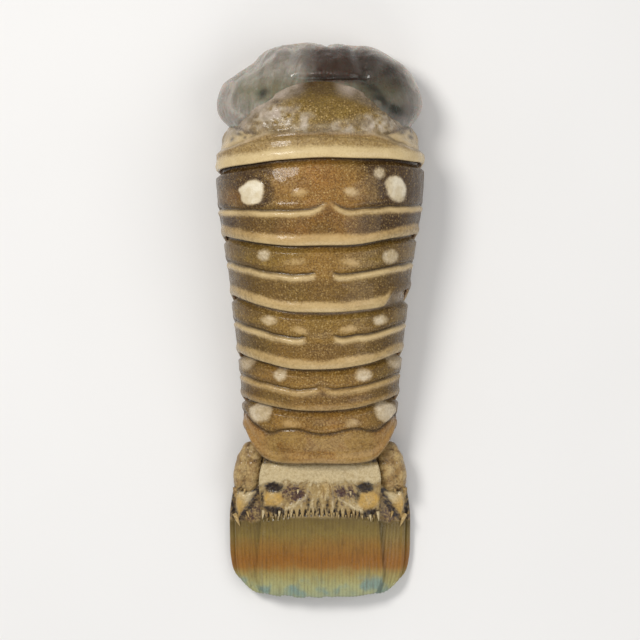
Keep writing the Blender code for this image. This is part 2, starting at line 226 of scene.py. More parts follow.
def gridQuads(rows, columns, first=0, flip=False, wrap=False):
    # corner numbers of the quads of a grid stored row by row
    r = np.arange(rows - 1)[:, None]
    c = np.arange(columns if wrap else columns - 1)[None, :]
    beside = (c + 1) % columns
    corners = (r * columns + c, (r + 1) * columns + c, (r + 1) * columns + beside, r * columns + beside)
    quads = np.stack(corners, -1).reshape(-1, 4) + first
    return quads[:, ::-1] if flip else quads


def addObject(name, data):
    obj = bpy.data.objects.new(name, data)
    bpy.context.scene.collection.objects.link(obj)
    return obj


def makePiece(name, parts, material, slotName, *nodes):
    # parts are (points, faces, fields): faces are arrays of 3 or 4 corner numbers, and a field is
    # one number for each point, or one for them all
    points = np.concatenate([part[0] for part in parts])
    starts = np.cumsum([0] + [len(part[0]) for part in parts])
    faces = [face + start for part, start in zip(parts, starts) for face in part[1]]
    corners = np.concatenate([face.ravel() for face in faces])
    sizes = np.concatenate([np.full(len(face), face.shape[1]) for face in faces])
    places = (points + (0, body["length"] / 2, 0)) * mm
    mesh = bpy.data.meshes.new(name)
    mesh.vertices.add(len(points))
    mesh.vertices.foreach_set("co", places.astype(np.float32).ravel())
    mesh.loops.add(len(corners))
    mesh.loops.foreach_set("vertex_index", corners.astype(np.int32))
    mesh.polygons.add(len(sizes))
    mesh.polygons.foreach_set("loop_start", (np.cumsum(sizes) - sizes).astype(np.int32))
    mesh.update(calc_edges=True)
    mesh.shade_smooth()
    for key in parts[0][2]:
        values = [np.broadcast_to(np.ravel(part[2].get(key, 0.0)), (len(part[0]),)) for part in parts]
        layer = mesh.attributes.new(key, "FLOAT", "POINT")
        layer.data.foreach_set("value", np.concatenate(values).astype(np.float32))
    mesh.materials.append(material)
    piece = addObject(name, mesh)
    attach(piece, "root")
    if nodes:
        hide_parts(*nodes)
    print("made", name, "with", len(corners) - 2 * len(sizes), "triangles")


def makePair(name, parts, material, slotName, node):
    # the parts as they are on the right, and turned over to the left: x changes sign there, and
    # each face runs the other way round
    turned = [(points * (-1, 1, 1), [face[:, ::-1] for face in faces], fields)
              for points, faces, fields in parts]
    for side, own in (("left", turned), ("right", parts)):
        makePiece(f"{name}_{side}", own, material, slotName, f"{node}_{side}")


def sheetPart(outer, inner, fields, shared=()):
    # closed sheet: outer grid, inner grid, and a strip of quads round their borders. The inner side
    # has only the shared fields, the rest is 0 there.
    rows, columns = outer.shape[:2]
    points = np.concatenate((outer.reshape(-1, 3), inner.reshape(-1, 3)))
    number = np.arange(rows * columns).reshape(rows, columns)
    border = np.concatenate((number[0, :-1], number[:-1, -1], number[-1, :0:-1], number[:0:-1, 0]))
    after = np.roll(border, -1)
    strip = np.stack((border, after, after + rows * columns, border + rows * columns), -1)
    faces = [gridQuads(rows, columns), gridQuads(rows, columns, rows * columns, flip=True), strip]
    both = {"inside": np.repeat((0.0, 1.0), rows * columns)}
    for key, values in fields.items():
        values = np.broadcast_to(values, (rows, columns)).ravel()
        both[key] = np.concatenate((values, values if key in shared else 0 * values))
    return points, faces, both


def closedPart(grid, startPole, endPole, fields):
    # grid that runs round in its columns, closed by a fan of triangles at each end
    rows, columns = grid.shape[:2]
    points = np.concatenate((grid.reshape(-1, 3), (startPole, endPole)))
    c = np.arange(columns)
    beside = (c + 1) % columns
    first, last = np.full(columns, rows * columns), np.full(columns, rows * columns + 1)
    end = (rows - 1) * columns
    faces = [
        gridQuads(rows, columns, wrap=True),
        np.stack((first, c, beside), -1),
        np.stack((last, end + beside, end + c), -1),
    ]
    full = {}
    for key, values in fields.items():
        values = np.broadcast_to(values, (rows, columns))
        full[key] = np.concatenate((values.ravel(), (values[0].mean(), values[-1].mean())))
    return points, faces, full


def spikeParts(bases, tips, radii, fields):
    # curved cones: for each, a circle that shrinks along an arched path from base to tip
    sides, steps, arch = 8, 6, 0.18
    parts = []
    shares = np.linspace(0, 0.94, steps)[:, None, None]
    cosine, sine = (row[..., None] for row in circle(sides))
    for base, tip, radius in zip(np.asarray(bases, float), np.asarray(tips, float), radii):
        axis = tip - base
        length = np.linalg.norm(axis)
        first = np.cross(axis / length, (0.31, 0.0, 0.95))
        first /= np.linalg.norm(first)
        second = np.cross(first, axis / length)
        middle = base + axis * shares + np.array((0, 0, arch * length)) * 4 * shares * (1 - shares)
        grid = middle + radius * (1 - shares**1.5) * (cosine * first + sine * second)
        parts.append(closedPart(grid, base, tip, fields))
    return parts


# Node helpers

def paint(red, green, blue):
    # a colour as seen on screen, 0 to 255, into the linear values that sockets hold
    screen = np.array((red, green, blue)) / 255
    linear = np.where(screen <= 0.04045, screen / 12.92, ((screen + 0.055) / 1.055) ** 2.4)
    return (*linear.tolist(), 1.0)


def put(tree, kind, inputs=None, **settings):
    # one node with its settings and inputs, each input a value or another node's socket
    node = tree.nodes.new(kind)
    for key, value in settings.items():
        setattr(node, key, value)
    for key, value in (inputs or {}).items():
        if isinstance(value, bpy.types.NodeSocket):
            tree.links.new(value, node.inputs[key])
        else:
            node.inputs[key].default_value = value
    return node


def calc(tree, operation, a, b, clamp=False):
    return put(tree, "ShaderNodeMath", {0: a, 1: b}, operation=operation, use_clamp=clamp).outputs[0]


def between(tree, value, low, high, start=0.0, end=1.0):
    # smooth step from start to end while the value goes from low to high
    inputs = {"Value": value, "From Min": low, "From Max": high, "To Min": start, "To Max": end}
    return put(tree, "ShaderNodeMapRange", inputs, interpolation_type="SMOOTHSTEP").outputs[0]


def field(tree, name):
    return put(tree, "ShaderNodeAttribute", attribute_name=name).outputs["Fac"]


def blend(tree, factor, low, high):
    return put(tree, "ShaderNodeMix", {0: factor, 6: low, 7: high}, data_type="RGBA").outputs[2]


def layered(tree, look, tone, *layers):
    # paints over a tone: each layer is a mask or a field's name, its strength, and a colour or the
    # name of one in the look
    for mask, strength, colour in layers:
        mask = field(tree, mask) if isinstance(mask, str) else mask
        share = calc(tree, "MULTIPLY", mask, strength) if strength < 1 else mask
        tone = blend(tree, share, tone, look[colour] if isinstance(colour, str) else colour)
    return tone


def cloud(tree, vector, cell, detail=2.0, rough=0.5, twist=0.0):
    # noise whose patches are about cell millimetres across
    inputs = {"Vector": vector, "Scale": 1 / (cell * mm), "Detail": detail, "Roughness": rough,
              "Distortion": twist}
    return put(tree, "ShaderNodeTexNoise", inputs).outputs["Fac"]


def stretched(tree, vector, scale):
    return put(tree, "ShaderNodeMapping", {"Vector": vector, "Scale": scale}).outputs[0]


def newGroup(name, numbers):
    # an empty group with a place and those numbers for inputs, and its input sockets
    group = bpy.data.node_groups.new(name, "ShaderNodeTree")
    group.interface.new_socket("Place", in_out="INPUT", socket_type="NodeSocketVector")
    for label, value in numbers.items():
        socket = group.interface.new_socket(label, in_out="INPUT", socket_type="NodeSocketFloat")
        socket.default_value = value
    return group, group.nodes.new("NodeGroupInput").outputs


def closeGroup(group, made):
    # one output of the group for each value that it makes
    for label in made:
        group.interface.new_socket(label, in_out="OUTPUT", socket_type="NodeSocketFloat")
    end = group.nodes.new("NodeGroupOutput")
    for label, value in made.items():
        group.links.new(value, end.inputs[label])
    return group


def newMaterial(name, **fixed):
    # a principled material with its constant sockets set, and its place in object space
    material = bpy.data.materials.new(name)
    material.use_nodes = True
    tree = material.node_tree
    shader = tree.nodes["Principled BSDF"]
    for key, value in fixed.items():
        shader.inputs[key].default_value = value
    return material, tree, shader, put(tree, "ShaderNodeTexCoord").outputs["Object"]


def finishShader(tree, shader, tone, wet, height, relief):
    # colour, the wet film's roughness, and a bump of that many millimetres
    bump = put(tree, "ShaderNodeBump", {"Strength": 1.0, "Distance": relief * mm, "Height": height})
    tree.links.new(tone, shader.inputs["Base Color"])
    tree.links.new(wet["Roughness"], shader.inputs["Roughness"])
    tree.links.new(bump.outputs[0], shader.inputs["Normal"])


# Shared effects

wetHorn = {"Coat Weight": 0.18, "Coat Roughness": 0.05, "IOR": 1.34}
grainShape = {
    "dots": ((1.0, 1.0), (0.62, 0.6)),  # spacing and strength of the large ones, then of the small
    "dotScatter": 0.8,
    "dotRadius": (0.34, 0.52),  # of the smallest and the largest, in spacings
    "grit": 0.5,  # millimetres across, as the next two
    "mottle": 4.5,
    "fray": 0.8,
    "grainDepth": 0.6,  # in heights of a dot
}
wetShape = {"patch": 3.2, "ripple": 1.1}  # millimetres across


def makeGrainGroup():
    # speckle of horny shell: pale dots in two sizes, dark grains and pale dust between them, broad
    # mottling, the fraying of painted borders from -1 to 1, and the relief of dots and grains
    group, given = newGroup("shellGrain", {"Spacing": 1.0})
    place = given["Place"]
    dots = 0.0
    for share, strength in grainShape["dots"]:
        scale = calc(group, "DIVIDE", 1 / (mm * share), given["Spacing"])
        inputs = {"Vector": place, "Scale": scale, "Randomness": grainShape["dotScatter"]}
        cells = put(group, "ShaderNodeTexVoronoi", inputs).outputs
        chance = put(group, "ShaderNodeSeparateColor", {0: cells["Color"]}).outputs
        chosen = between(group, chance[0], 0.0, 0.8, 0.1, strength)
        size = between(group, chance[1], 0.0, 1.0, *grainShape["dotRadius"])
        disc = between(group, cells["Distance"], size, 0.08)
        dots = calc(group, "MAXIMUM", dots, calc(group, "MULTIPLY", disc, chosen))
    grit = cloud(group, place, grainShape["grit"], 3.0, 0.65)
    mottle = cloud(group, place, grainShape["mottle"], 4.0, 0.6)
    fray = cloud(group, place, grainShape["fray"], 3.0, 0.6)
    grains = between(group, grit, 0.46, 0.66)
    return closeGroup(group, {
        "Dots": dots,
        "Grains": grains,
        "Dust": between(group, grit, 0.5, 0.4),
        "Mottle": between(group, mottle, 0.36, 0.66),
        "Fray": between(group, fray, 0.34, 0.66, -1.0, 1.0),
        "Height": calc(group, "SUBTRACT", dots, calc(group, "MULTIPLY", grains, grainShape["grainDepth"])),
    })


def makeWetGroup():
    # film of water: roughness in patches between slick and damp, and a faint ripple
    group, given = newGroup("wetFilm", {"Slick": 0.2, "Damp": 0.42})
    share = between(group, cloud(group, given["Place"], wetShape["patch"], 4.0, 0.6), 0.35, 0.65)
    spread = calc(group, "SUBTRACT", given["Damp"], given["Slick"])
    rough = calc(group, "ADD", given["Slick"], calc(group, "MULTIPLY", share, spread))
    ripple = cloud(group, given["Place"], wetShape["ripple"])
    return closeGroup(group, {"Roughness": rough, "Ripple": ripple})


grainGroup, wetGroup = makeGrainGroup(), makeWetGroup()


def addGrain(tree, where, look):
    inputs = {"Place": where, "Spacing": look["dotSpacing"]}
    return put(tree, "ShaderNodeGroup", inputs, node_tree=grainGroup).outputs


def addWet(tree, where, look):
    inputs = {"Place": where, "Slick": look["slick"], "Damp": look["damp"]}
    return put(tree, "ShaderNodeGroup", inputs, node_tree=wetGroup).outputs


def frayed(tree, name, grain, amount):
    # a field whose borders are broken up: most where it is one half, none where it is 0 or 1
    value = field(tree, name)
    border = calc(tree, "MULTIPLY", value, calc(tree, "SUBTRACT", 1.0, value))
    shift = calc(tree, "MULTIPLY", calc(tree, "MULTIPLY", border, grain["Fray"]), 4 * amount)
    return calc(tree, "ADD", value, shift, clamp=True)


print("shared effects ready")


# Shell rings

shellPaint = {
    "brown": paint(142, 110, 48),
    "copper": paint(152, 104, 40),
    "olive": paint(116, 98, 34),
    # deep is dark pigment, and also painted shade on the flanks and just behind the ring ahead
    "deep": paint(58, 35, 4),
    "grain": paint(82, 54, 12),
    "dot": paint(196, 164, 104),
    "cream": paint(214, 192, 144),
    "gold": paint(182, 146, 88),
    "creamShade": paint(150, 118, 66),
    "spot": paint(230, 220, 196),
    "spotShade": paint(206, 190, 156),
    # line is painted shade in the grooves, under the edge of the ring ahead and along rear edges, and also
    # ring 1's dark ear spots and border lines
    "line": paint(40, 26, 12),
    "veil": paint(188, 172, 156),
    "veilShade": paint(132, 118, 96),
    "inside": paint(192, 156, 122),
    "dotSpacing": 0.8,
    "slick": 0.2,
    "damp": 0.44,
    "relief": 0.1,  # millimetres from the top of a dot to the bottom of a grain
}


def makeShellMaterial():
    # brown horn, then patches, grains and dots, then the pale borders and spots, and dark lines over all.
    # The dark field and the lines are partly painted shade.
    look = shellPaint
    material, tree, shader, where = newMaterial("wet_speckled_shell", **wetHorn)
    grain, wet = addGrain(tree, where, look), addWet(tree, where, look)
    grains, mottle, speckle = grain["Grains"], grain["Mottle"], field(tree, "speckle")
    dots, dust = (calc(tree, "MULTIPLY", grain[name], speckle) for name in ("Dots", "Dust"))
    cream = frayed(tree, "cream", grain, 0.18)
    rim = blend(tree, field(tree, "gold"), look["cream"], look["gold"])
    rim = layered(tree, look, rim, (grains, 0.22, "creamShade"), (mottle, 0.2, "creamShade"))
    pearl = blend(tree, mottle, look["spot"], look["spotShade"])
    film = blend(tree, mottle, look["veil"], look["veilShade"])
    tone = layered(
        tree, look, look["brown"], ("copper", 1, "copper"), ("olive", 1, "olive"), (mottle, 0.35, "grain"),
        (grains, 0.6, "grain"), ("dark", 1, "deep"), (dust, 0.22, "dot"), (dots, 1, "dot"), (cream, 1, rim),
        (frayed(tree, "spot", grain, 0.12), 1, pearl), ("veil", 1, film), ("line", 1, "line"),
        ("inside", 1, "inside"),
    )
    bare = calc(tree, "SUBTRACT", 1.0, calc(tree, "MULTIPLY", cream, 0.7))
    height = calc(tree, "MULTIPLY", grain["Height"], bare)
    height = calc(tree, "ADD", height, calc(tree, "MULTIPLY", wet["Ripple"], 0.5))
    finishShader(tree, shader, tone, wet, height, look["relief"])
    return material


# What most rings share. Cut is the least strength of the groove, lineWidth the width of its dark
# line of painted shade, shoulders the strength and width of the dark corners, halo the dark round the large
# spots.
ringCommon = {"power": 2.0, "ridge": 1.0, "cut": 0.0, "lineWidth": 0.36, "shoulders": (0.4, 2.3),
              "halo": 0.25}

# Front, groove, rear, bow and its power, skew and tip are the frame's: stations on the midline, the
# bend of the edges, their slant and the flap's tip. Rim is the width of the pale rear edge, pale and
# gold its paint, ridge the strength of the pale ridge behind the groove, gap and peak where that
# ridge breaks or bends. A spot is x, station, width, length, tilt and strength.
rings = tuple({**ringCommon, **ring} for ring in (
    {"front": 11.2, "groove": 30.4, "rear": 34.5, "bow": -1.6, "skew": 0.9, "tip": 39.5, "rim": 3.3},
    {"front": 32.6, "groove": 49.0, "rear": 59.3, "bow": 3.6, "skew": 0.4, "tip": 63.0, "rim": 3.0,
     "pale": 0.95, "gold": 0.75, "copper": 0.75, "olive": 0.0, "peak": (2.4, 2.0, 3.2),
     "shoulders": (1.0, 2.8), "halo": 1.0,
     "rust": (-23.6, 45.6, 3.4),  # x, station and size of a rusty patch
     "spots": ((-18.9, 44.1, 6.8, 6.6, -25, 1.0), (21.3, 42.9, 5.4, 7.3, -25, 0.88),
               (8.7, 44.0, 3.8, 2.1, 8, 0.7), (-5.8, 44.3, 3.8, 1.8, -8, 0.62),
               (16.5, 38.6, 2.8, 2.8, 0, 0.5))},
    {"front": 53.6, "groove": 67.3, "rear": 78.1, "bow": 4.8, "skew": -0.4, "tip": 80.5, "rim": 2.9,
     "pale": 0.92, "gold": 0.55, "copper": 0.28, "olive": 0.18, "gap": (1.2, 2.4), "halo": 0.5,
     "notch": (0.385, 0.47, 2.6),  # girths between which the rear edge steps forward, and how far
     "spots": ((19.6, 62.0, 3.8, 3.6, 0, 0.6), (8.6, 63.8, 4.8, 1.7, 5, 0.58),
               (-15.6, 61.7, 2.9, 2.8, 0, 0.5), (-7.0, 63.6, 4.4, 1.5, -5, 0.45))},
    {"front": 72.4, "groove": 85.2, "rear": 94.1, "bow": 5.0, "skew": 0.3, "tip": 95.5, "rim": 2.7,
     "pale": 0.86, "gold": 0.6, "copper": 0.25, "olive": 0.15, "gap": (-0.1, 4.0),
     "spots": ((-14.2, 80.1, 3.8, 2.2, 8, 0.72), (16.8, 80.0, 3.6, 2.4, -8, 0.7),
               (-5.6, 82.8, 3.6, 1.6, 10, 0.56), (7.9, 82.4, 3.6, 1.6, -6, 0.6))},
    {"front": 88.8, "groove": 99.9, "rear": 106.0, "bow": 4.2, "skew": 0.2, "tip": 107.6, "rim": 1.8,
     "pale": 0.52, "gold": 1.0, "copper": 0.5, "olive": 0.08, "ridge": 0.8, "peak": (0.6, 0.9, 2.6),
     "spots": ((-11.2, 95.6, 3.4, 2.8, 0, 0.62), (12.2, 95.6, 4.2, 3.2, -14, 0.6),
               (-20.6, 92.2, 3.4, 3.4, 0, 0.4), (21.4, 91.8, 3.8, 3.6, 0, 0.45))},
    {"front": 102.2, "groove": 112.9, "rear": 121.2, "bow": 10.0, "power": 6.4, "skew": 0.0, "tip": 115.2,
     "rim": 1.6, "pale": 0.62, "gold": 1.0, "copper": 0.5, "olive": 0.0, "ridge": 0.0, "cut": 0.8,
     "lineWidth": 0.48,
     # a wavy groove in place of the straight one: millimetres from the middle, and station
     "wave": ((-21, 106.5), (-19.8, 108.5), (-17.2, 110.7), (-14.2, 112.2), (-11.2, 111.4), (-8.6, 111.2),
              (-5.6, 111.3), (-2.2, 112.3), (0.8, 112.6), (4.1, 112.2), (7.8, 111.3), (10.8, 110.9),
              (13.8, 111.6), (16.6, 111.5), (18.7, 109.9), (21, 107.4)),
     "spots": ((-16.9, 106.4, 5.4, 5.0, 0, 0.62), (18.4, 106.2, 5.6, 5.4, 0, 0.62),
               (-8.0, 109.4, 4.4, 1.9, 5, 0.45), (8.9, 109.2, 3.2, 2.2, -5, 0.5))},
))
ringShape = {
    "wall": 0.9,
    "tucked": 1.25,  # depth of what lies under the ring ahead
    "clearOfEdge": 0.6,
    "fullHeight": 2.2,
    "flapTipLength": 2.2,
    "halfMoon": 17.5,
    "earStation": (24.8, 1.6),  # how far forward ring 1's sides reach, and the rounding of that corner
    "step": (27.0, 3.4),
    "sink": (1.6, 6.0),  # how deep the dome's front lies in the meat, and over what length it rises
    "rise": 0.15,
    "crown": (1.2, 0.48),  # four times the height of the bulges ahead of the groove and behind it
    # each a height, a place and a width: behind the groove, ahead of the rear edge, in from the rim
    "groove": ((-0.6, 0.0, 0.42), (0.25, -1.2, 0.9)),
    "ridge": (0.45, 1.05, 0.65),
    "edge": (0.42, 1.5, 1.25),
    "flapRim": ((0.28, 1.3, 0.8), (-0.25, 2.6, 0.6)),
    "lumps": ((0.1, 6.5, 101), (0.045, 2.2, 111), (0.018, 0.9, 121)),  # height, cell, seed
    "roundness": 0.42,
    "columns": 291,
    "rows": (12, 34, 42),  # hidden, ahead of the groove, behind it
    "firstRows": (56, 16, 26),
}


def flapShare(g):
    # how far down the flap: 0 at the hinge and over the back, 1 at the lower edge
    return np.maximum(np.abs(g) - body["hingeGirth"], 0) / (1 - body["hingeGirth"])


def archShare(g):
    # how far out over the back: sine of a quarter turn from 0 on the midline to 1 at the hinge
    return np.sin(np.minimum(np.abs(g) / body["hingeGirth"], 1) * np.pi / 2)


def bowed(ring, g, station):
    # an edge that bows over the back by a power of the arch, with a little slant
    out = archShare(g)
    return station - ring["bow"] * out ** ring["power"] - ring["skew"] * out * np.sign(g)


def rearEdge(n, g, whole=False):
    # bowed over the back and swept to a tip on the flap, with a slight waver of its own. The whole
    # edge is the one without the notch.
    ring = rings[n]
    waver = patchNoise(g * body["girthLength"], 0 * g + 31 * n, 9.0, 11)
    station = bowed(ring, g, ring["rear"]) + 0.22 * waver
    if "notch" in ring and not whole:
        start, end, depth = ring["notch"]
        station = station - depth * ramp(g, start, end)
    return station + (ring["tip"] - station) * flapShare(g) ** 2.4


def frontEdge(n, g):
    # parallel to the edge that covers it or, on ring 1, a half-moon between two ears
    ring = rings[n]
    if n:
        station = bowed(rings[n - 1], g, ring["front"])
    else:
        moon = ring["front"] + ringShape["halfMoon"] * archShare(g) ** 2
        ear, corner = ringShape["earStation"]
        closeness = np.maximum(corner - np.abs(moon - ear), 0) / corner
        station = np.minimum(moon, ear) - closeness**2 * corner / 4
    return station + (ring["tip"] - ringShape["flapTipLength"] - station) * flapShare(g) ** 1.5


def coverEdge(n, g):
    # where the ring comes out from under the one ahead or, on ring 1, the step behind its dome
    middle, bow = ringShape["step"]
    return rearEdge(n - 1, g, whole=True) if n else middle + bow * archShare(g) ** 2


def ringGrid(n):
    # rows in three zones between front, cover, groove and rear edge, evenly spread on the flaps and
    # closer together at the front and rear edges
    ring = rings[n]
    g = np.linspace(-1, 1, ringShape["columns"])[None, :]
    front, cover, rear = frontEdge(n, g), coverEdge(n, g), rearEdge(n, g)
    start = rings[n - 1]["rear"] if n else ringShape["step"][0]
    share = (ring["groove"] - start) / (ring["rear"] - start)
    groove = cover * (1 - share) + rearEdge(n, g, whole=True) * share
    onFlap = ramp(flapShare(g), 0.0, 0.5)
    span = rear - front
    second = np.maximum(cover, front + 0.05 * span)
    third = np.maximum(groove, second + 0.12 * span)
    second = second * (1 - onFlap) + (front + 0.12 * span) * onFlap
    third = third * (1 - onFlap) + (front + 0.46 * span) * onFlap
    lines = (front, second, third, rear)
    zones = []
    for zone, count in enumerate(ringShape["rows"] if n else ringShape["firstRows"]):
        t = np.linspace(0, 1, count, endpoint=zone == 2)[:, None]
        t = (t**1.5, t, 1 - (1 - t) ** 1.6)[zone]
        zones.append(lines[zone] + (lines[zone + 1] - lines[zone]) * t)
    s = np.concatenate(zones)
    return np.broadcast_to(g, s.shape), s, front, cover, groove, rear


def ridgeBreaks(ring, x):
    # how strong the ridge is at each place, and how far forward it bends near the midline
    strength = np.full(x.shape, ring["ridge"])
    bend = 0.0 * x
    if "gap" in ring:
        middle, half = ring["gap"]
        strength = strength * ramp(np.abs(x - middle), half - 0.5, half + 0.9)
        bend = 0.5 * hump(np.abs(x - middle) - half - 0.4, 1.1)
    if "peak" in ring:
        middle, height, width = ring["peak"]
        bend = height * hump(x - middle, width)
        strength = strength * (1 - 0.85 * hump(x - middle, 0.55 * width))
    return strength, bend


def paleSpots(spots, x, s):
    # cream of all spots, pearl of the large ones and the dark halo round those, and how high they stand
    cream, pearl, halo, lift = (0 * x for _ in range(4))
    for *shape, force in spots:
        size = min(shape[2], shape[3])
        reach = spotReach(x, s, shape, 0.12)
        soft = (0.5 + 0.8 * (1 - force)) / size * 1.6
        inside = ramp(1 - reach, -soft, soft)
        milky = ramp(size, 1.7, 2.7)
        cream = np.maximum(cream, min(1.5 * force, 1) * (1 - 0.35 * milky) * inside)
        pearl = np.maximum(pearl, milky * force**1.3 * inside)
        lift = lift + 0.22 * force * inside
        if size > 3.2:
            halo = np.maximum(halo, force * window(reach, 0.85, 1.15, 1.25, 2.2))
    return cream, pearl, halo, lift


def addRustAndShade(fields, ring, x, s, worn):
    # ring 2: darker towards its right side, painted shade at both ends, and one rusty patch
    cx, cs, size = ring["rust"]
    rusty = hump(np.hypot(x - cx, 1.2 * (s - cs)), size) * (0.6 + 0.5 * worn)
    dark = fields["dark"] + 0.48 * ramp(x, 7, 14) * (0.5 + 0.6 * worn) + 0.5 * ramp(np.abs(x), 22, 26)
    fields["copper"] = fields["copper"] + 1.4 * rusty
    fields["olive"] = fields["olive"] * (1 - rusty)
    fields["dark"] = dark * (1 - 0.75 * rusty)


def paintHindBand(fields, x, s, u, dg, dr, flap, patchy):
    # ring 6 behind its wavy groove: orange flanks, a pale blotched middle, a lip along the rear edge, and
    # painted shade near that edge. Gives the lip's relief.
    behind, within = ramp(dg, 0.0, 1.5), ramp(dg, 0.3, 2.0)
    flank = ramp(np.abs(x), 13, 18) * ramp(dg, -0.5, 1.0)
    blotch = ramp(lumpy(u, s, (1.0, 3.4, 29), (0.3, 1.5, 30)), 0.0, 0.7)
    lip = hump(dr - 2.3, 0.8)
    pale = 0.3 + 0.1 * patchy + 0.08 * ramp(dg, 4.5, 7.5) + 0.24 * lip - 0.24 * blotch
    fields["cream"] = np.maximum(fields["cream"], within * (pale * (1 - flank) + 0.4 * flank))
    fields["copper"] = fields["copper"] * (1 - 0.6 * behind) + flank + 0.7 * blotch * within
    fields["olive"] = fields["olive"] * (1 - flank)
    # painted shade: a thin dark line at the rear edge
    fields["line"] = fields["line"] + 0.7 * hump(dr - 0.3, 0.3) * (1 - flap)
    # darker blotches, and painted shade just inside the rear edge
    blotchesAndShade = 0.16 * blotch * within + 0.22 * hump(dr - 0.9, 0.7)
    fields["dark"] = fields["dark"] * (1 - 0.75 * behind) + blotchesAndShade
    return 0.14 * lip - 0.08 * hump(dr - 3.9, 0.7)


def backPattern(n, g, x, s, u, cover, groove, rear, flap):
    # rings 2 to 6: relief in millimetres, and paint fields. The distances dc, dg and dr run from the
    # edge of the ring ahead, from the groove and to the rear edge.
    ring, shape = rings[n], ringShape
    ax, dc, dr = np.abs(x), s - cover, rear - s
    strength, bend = ridgeBreaks(ring, x)
    dg = s - groove + bend + 0.18 * patchNoise(u, 0, 3.5, 17 + n)
    if "wave" in ring:
        dg = s - smoothCurve(ring["wave"], x)
    ahead = np.clip(dc / np.maximum(groove - cover, 1.0), 0, 1)
    behind = np.clip(dg / np.maximum(rear - groove, 1.0), 0, 1)
    strip, side = ramp(dg, 0.5, 2.0), fade(flap, 0.1, 0.8)
    cut = np.maximum(strength, ring["cut"]) * side
    worn, patchy = wear(u, s, 2.6, 23 + n), patchNoise(u, s, 7.0, 24 + n)
    spotCream, pearl, halo, lift = paleSpots(ring["spots"], x, s)
    relief = shape["rise"] + lift + cut * humps(dg, *shape["groove"]) + humps(dr, shape["edge"])
    relief = relief + strength * side * humps(dg, shape["ridge"])
    for part, bulge in zip((ahead, behind), shape["crown"]):
        relief = relief + bulge * part * (1 - part)
    rim = ring["rim"] * (1 + 0.14 * patchNoise(u, 0, 6.0, 41 + n))
    edge = ramp(rim - dr, -0.6, 0.6) * ring["pale"] * (1 - 0.3 * ramp(ax, 13, 23)) * (1 - 0.12 * worn)
    if "notch" in ring:
        edge = edge * fade(x, 18.6, 20.4)
    ridge = strength * side * hump(np.maximum(np.abs(dg - 1.0) - 0.42, 0), 0.62)
    ridgeCream = (0.88 + 0.12 * ring["pale"]) * ridge * (0.9 + 0.2 * patchy)
    corner, cornerWidth = ring["shoulders"]
    shoulders = corner * ramp(ax, 10.0, 14.5) * hump(dc - 1.8, cornerWidth) * (0.65 + 0.35 * worn)
    # the dark band just behind the edge of the ring ahead is painted shade
    dark = np.maximum.reduce((
        ring["halo"] * halo * (0.65 + 0.45 * worn), shoulders, 0.3 * hump(dc - 0.8, 1.6),
        0.5 * cut * ramp(ax, 6, 16) * hump(dg + 0.9, 0.9),
    ))
    dark = dark + 0.5 * strip * (1 - edge) * (0.7 + 0.2 * ramp(ax, 4, 14)) + 0.08 * patchy
    # painted shade: a dark line in the groove, a dark band under the edge of the ring ahead, and a thin dark
    # line along the rear edge
    line = 0.9 * cut * hump(dg - 0.02, ring["lineWidth"]) + 0.75 * fade(dc, 0.2, 1.3) * (1 - flap)
    fields = {
        "cream": np.maximum.reduce((edge, ridgeCream, spotCream)),
        "gold": ring["gold"] * ramp(dr / rim, -0.4, 1.0) * (1 - 0.5 * ridge) + 0.12 * worn,
        "spot": pearl,
        "line": line + 0.25 * edge * hump(dr - 0.1, 0.25),
        # painted shade: darker towards the flanks
        "dark": dark + 0.3 * ramp(ax, 12, 22) * (0.6 + 0.5 * worn),
        "copper": ring["copper"] * (0.45 + 0.75 * hump(x, 9.0) + 0.3 * patchNoise(u, s, 5.0, 61 + n)),
        "olive": ring["olive"] + 0.3 * ramp(ax, 10, 20) + 0.25 * patchNoise(u, s, 6.0, 71 + n),
        "veil": 0 * x,
        "speckle": 0.5 - 0.25 * edge + 0.12 * patchy + 0.15 * hump(x, 12.0) - 0.12 * strip,
    }
    if "rust" in ring:
        addRustAndShade(fields, ring, x, s, worn)
    if "wave" in ring:
        relief = relief + paintHindBand(fields, x, s, u, dg, dr, flap, patchy)
    if "notch" in rings[n - 1]:
        opened = ramp(s - rearEdge(n - 1, g), -0.6, 0.6) * fade(dc, 0.2, 1.2)
        fields["veil"] = 0.45 * opened * (0.6 + 0.5 * worn)
        fields["copper"] = fields["copper"] + 0.4 * opened
        fields["line"] = fields["line"] * (1 - opened)
    return relief, fields


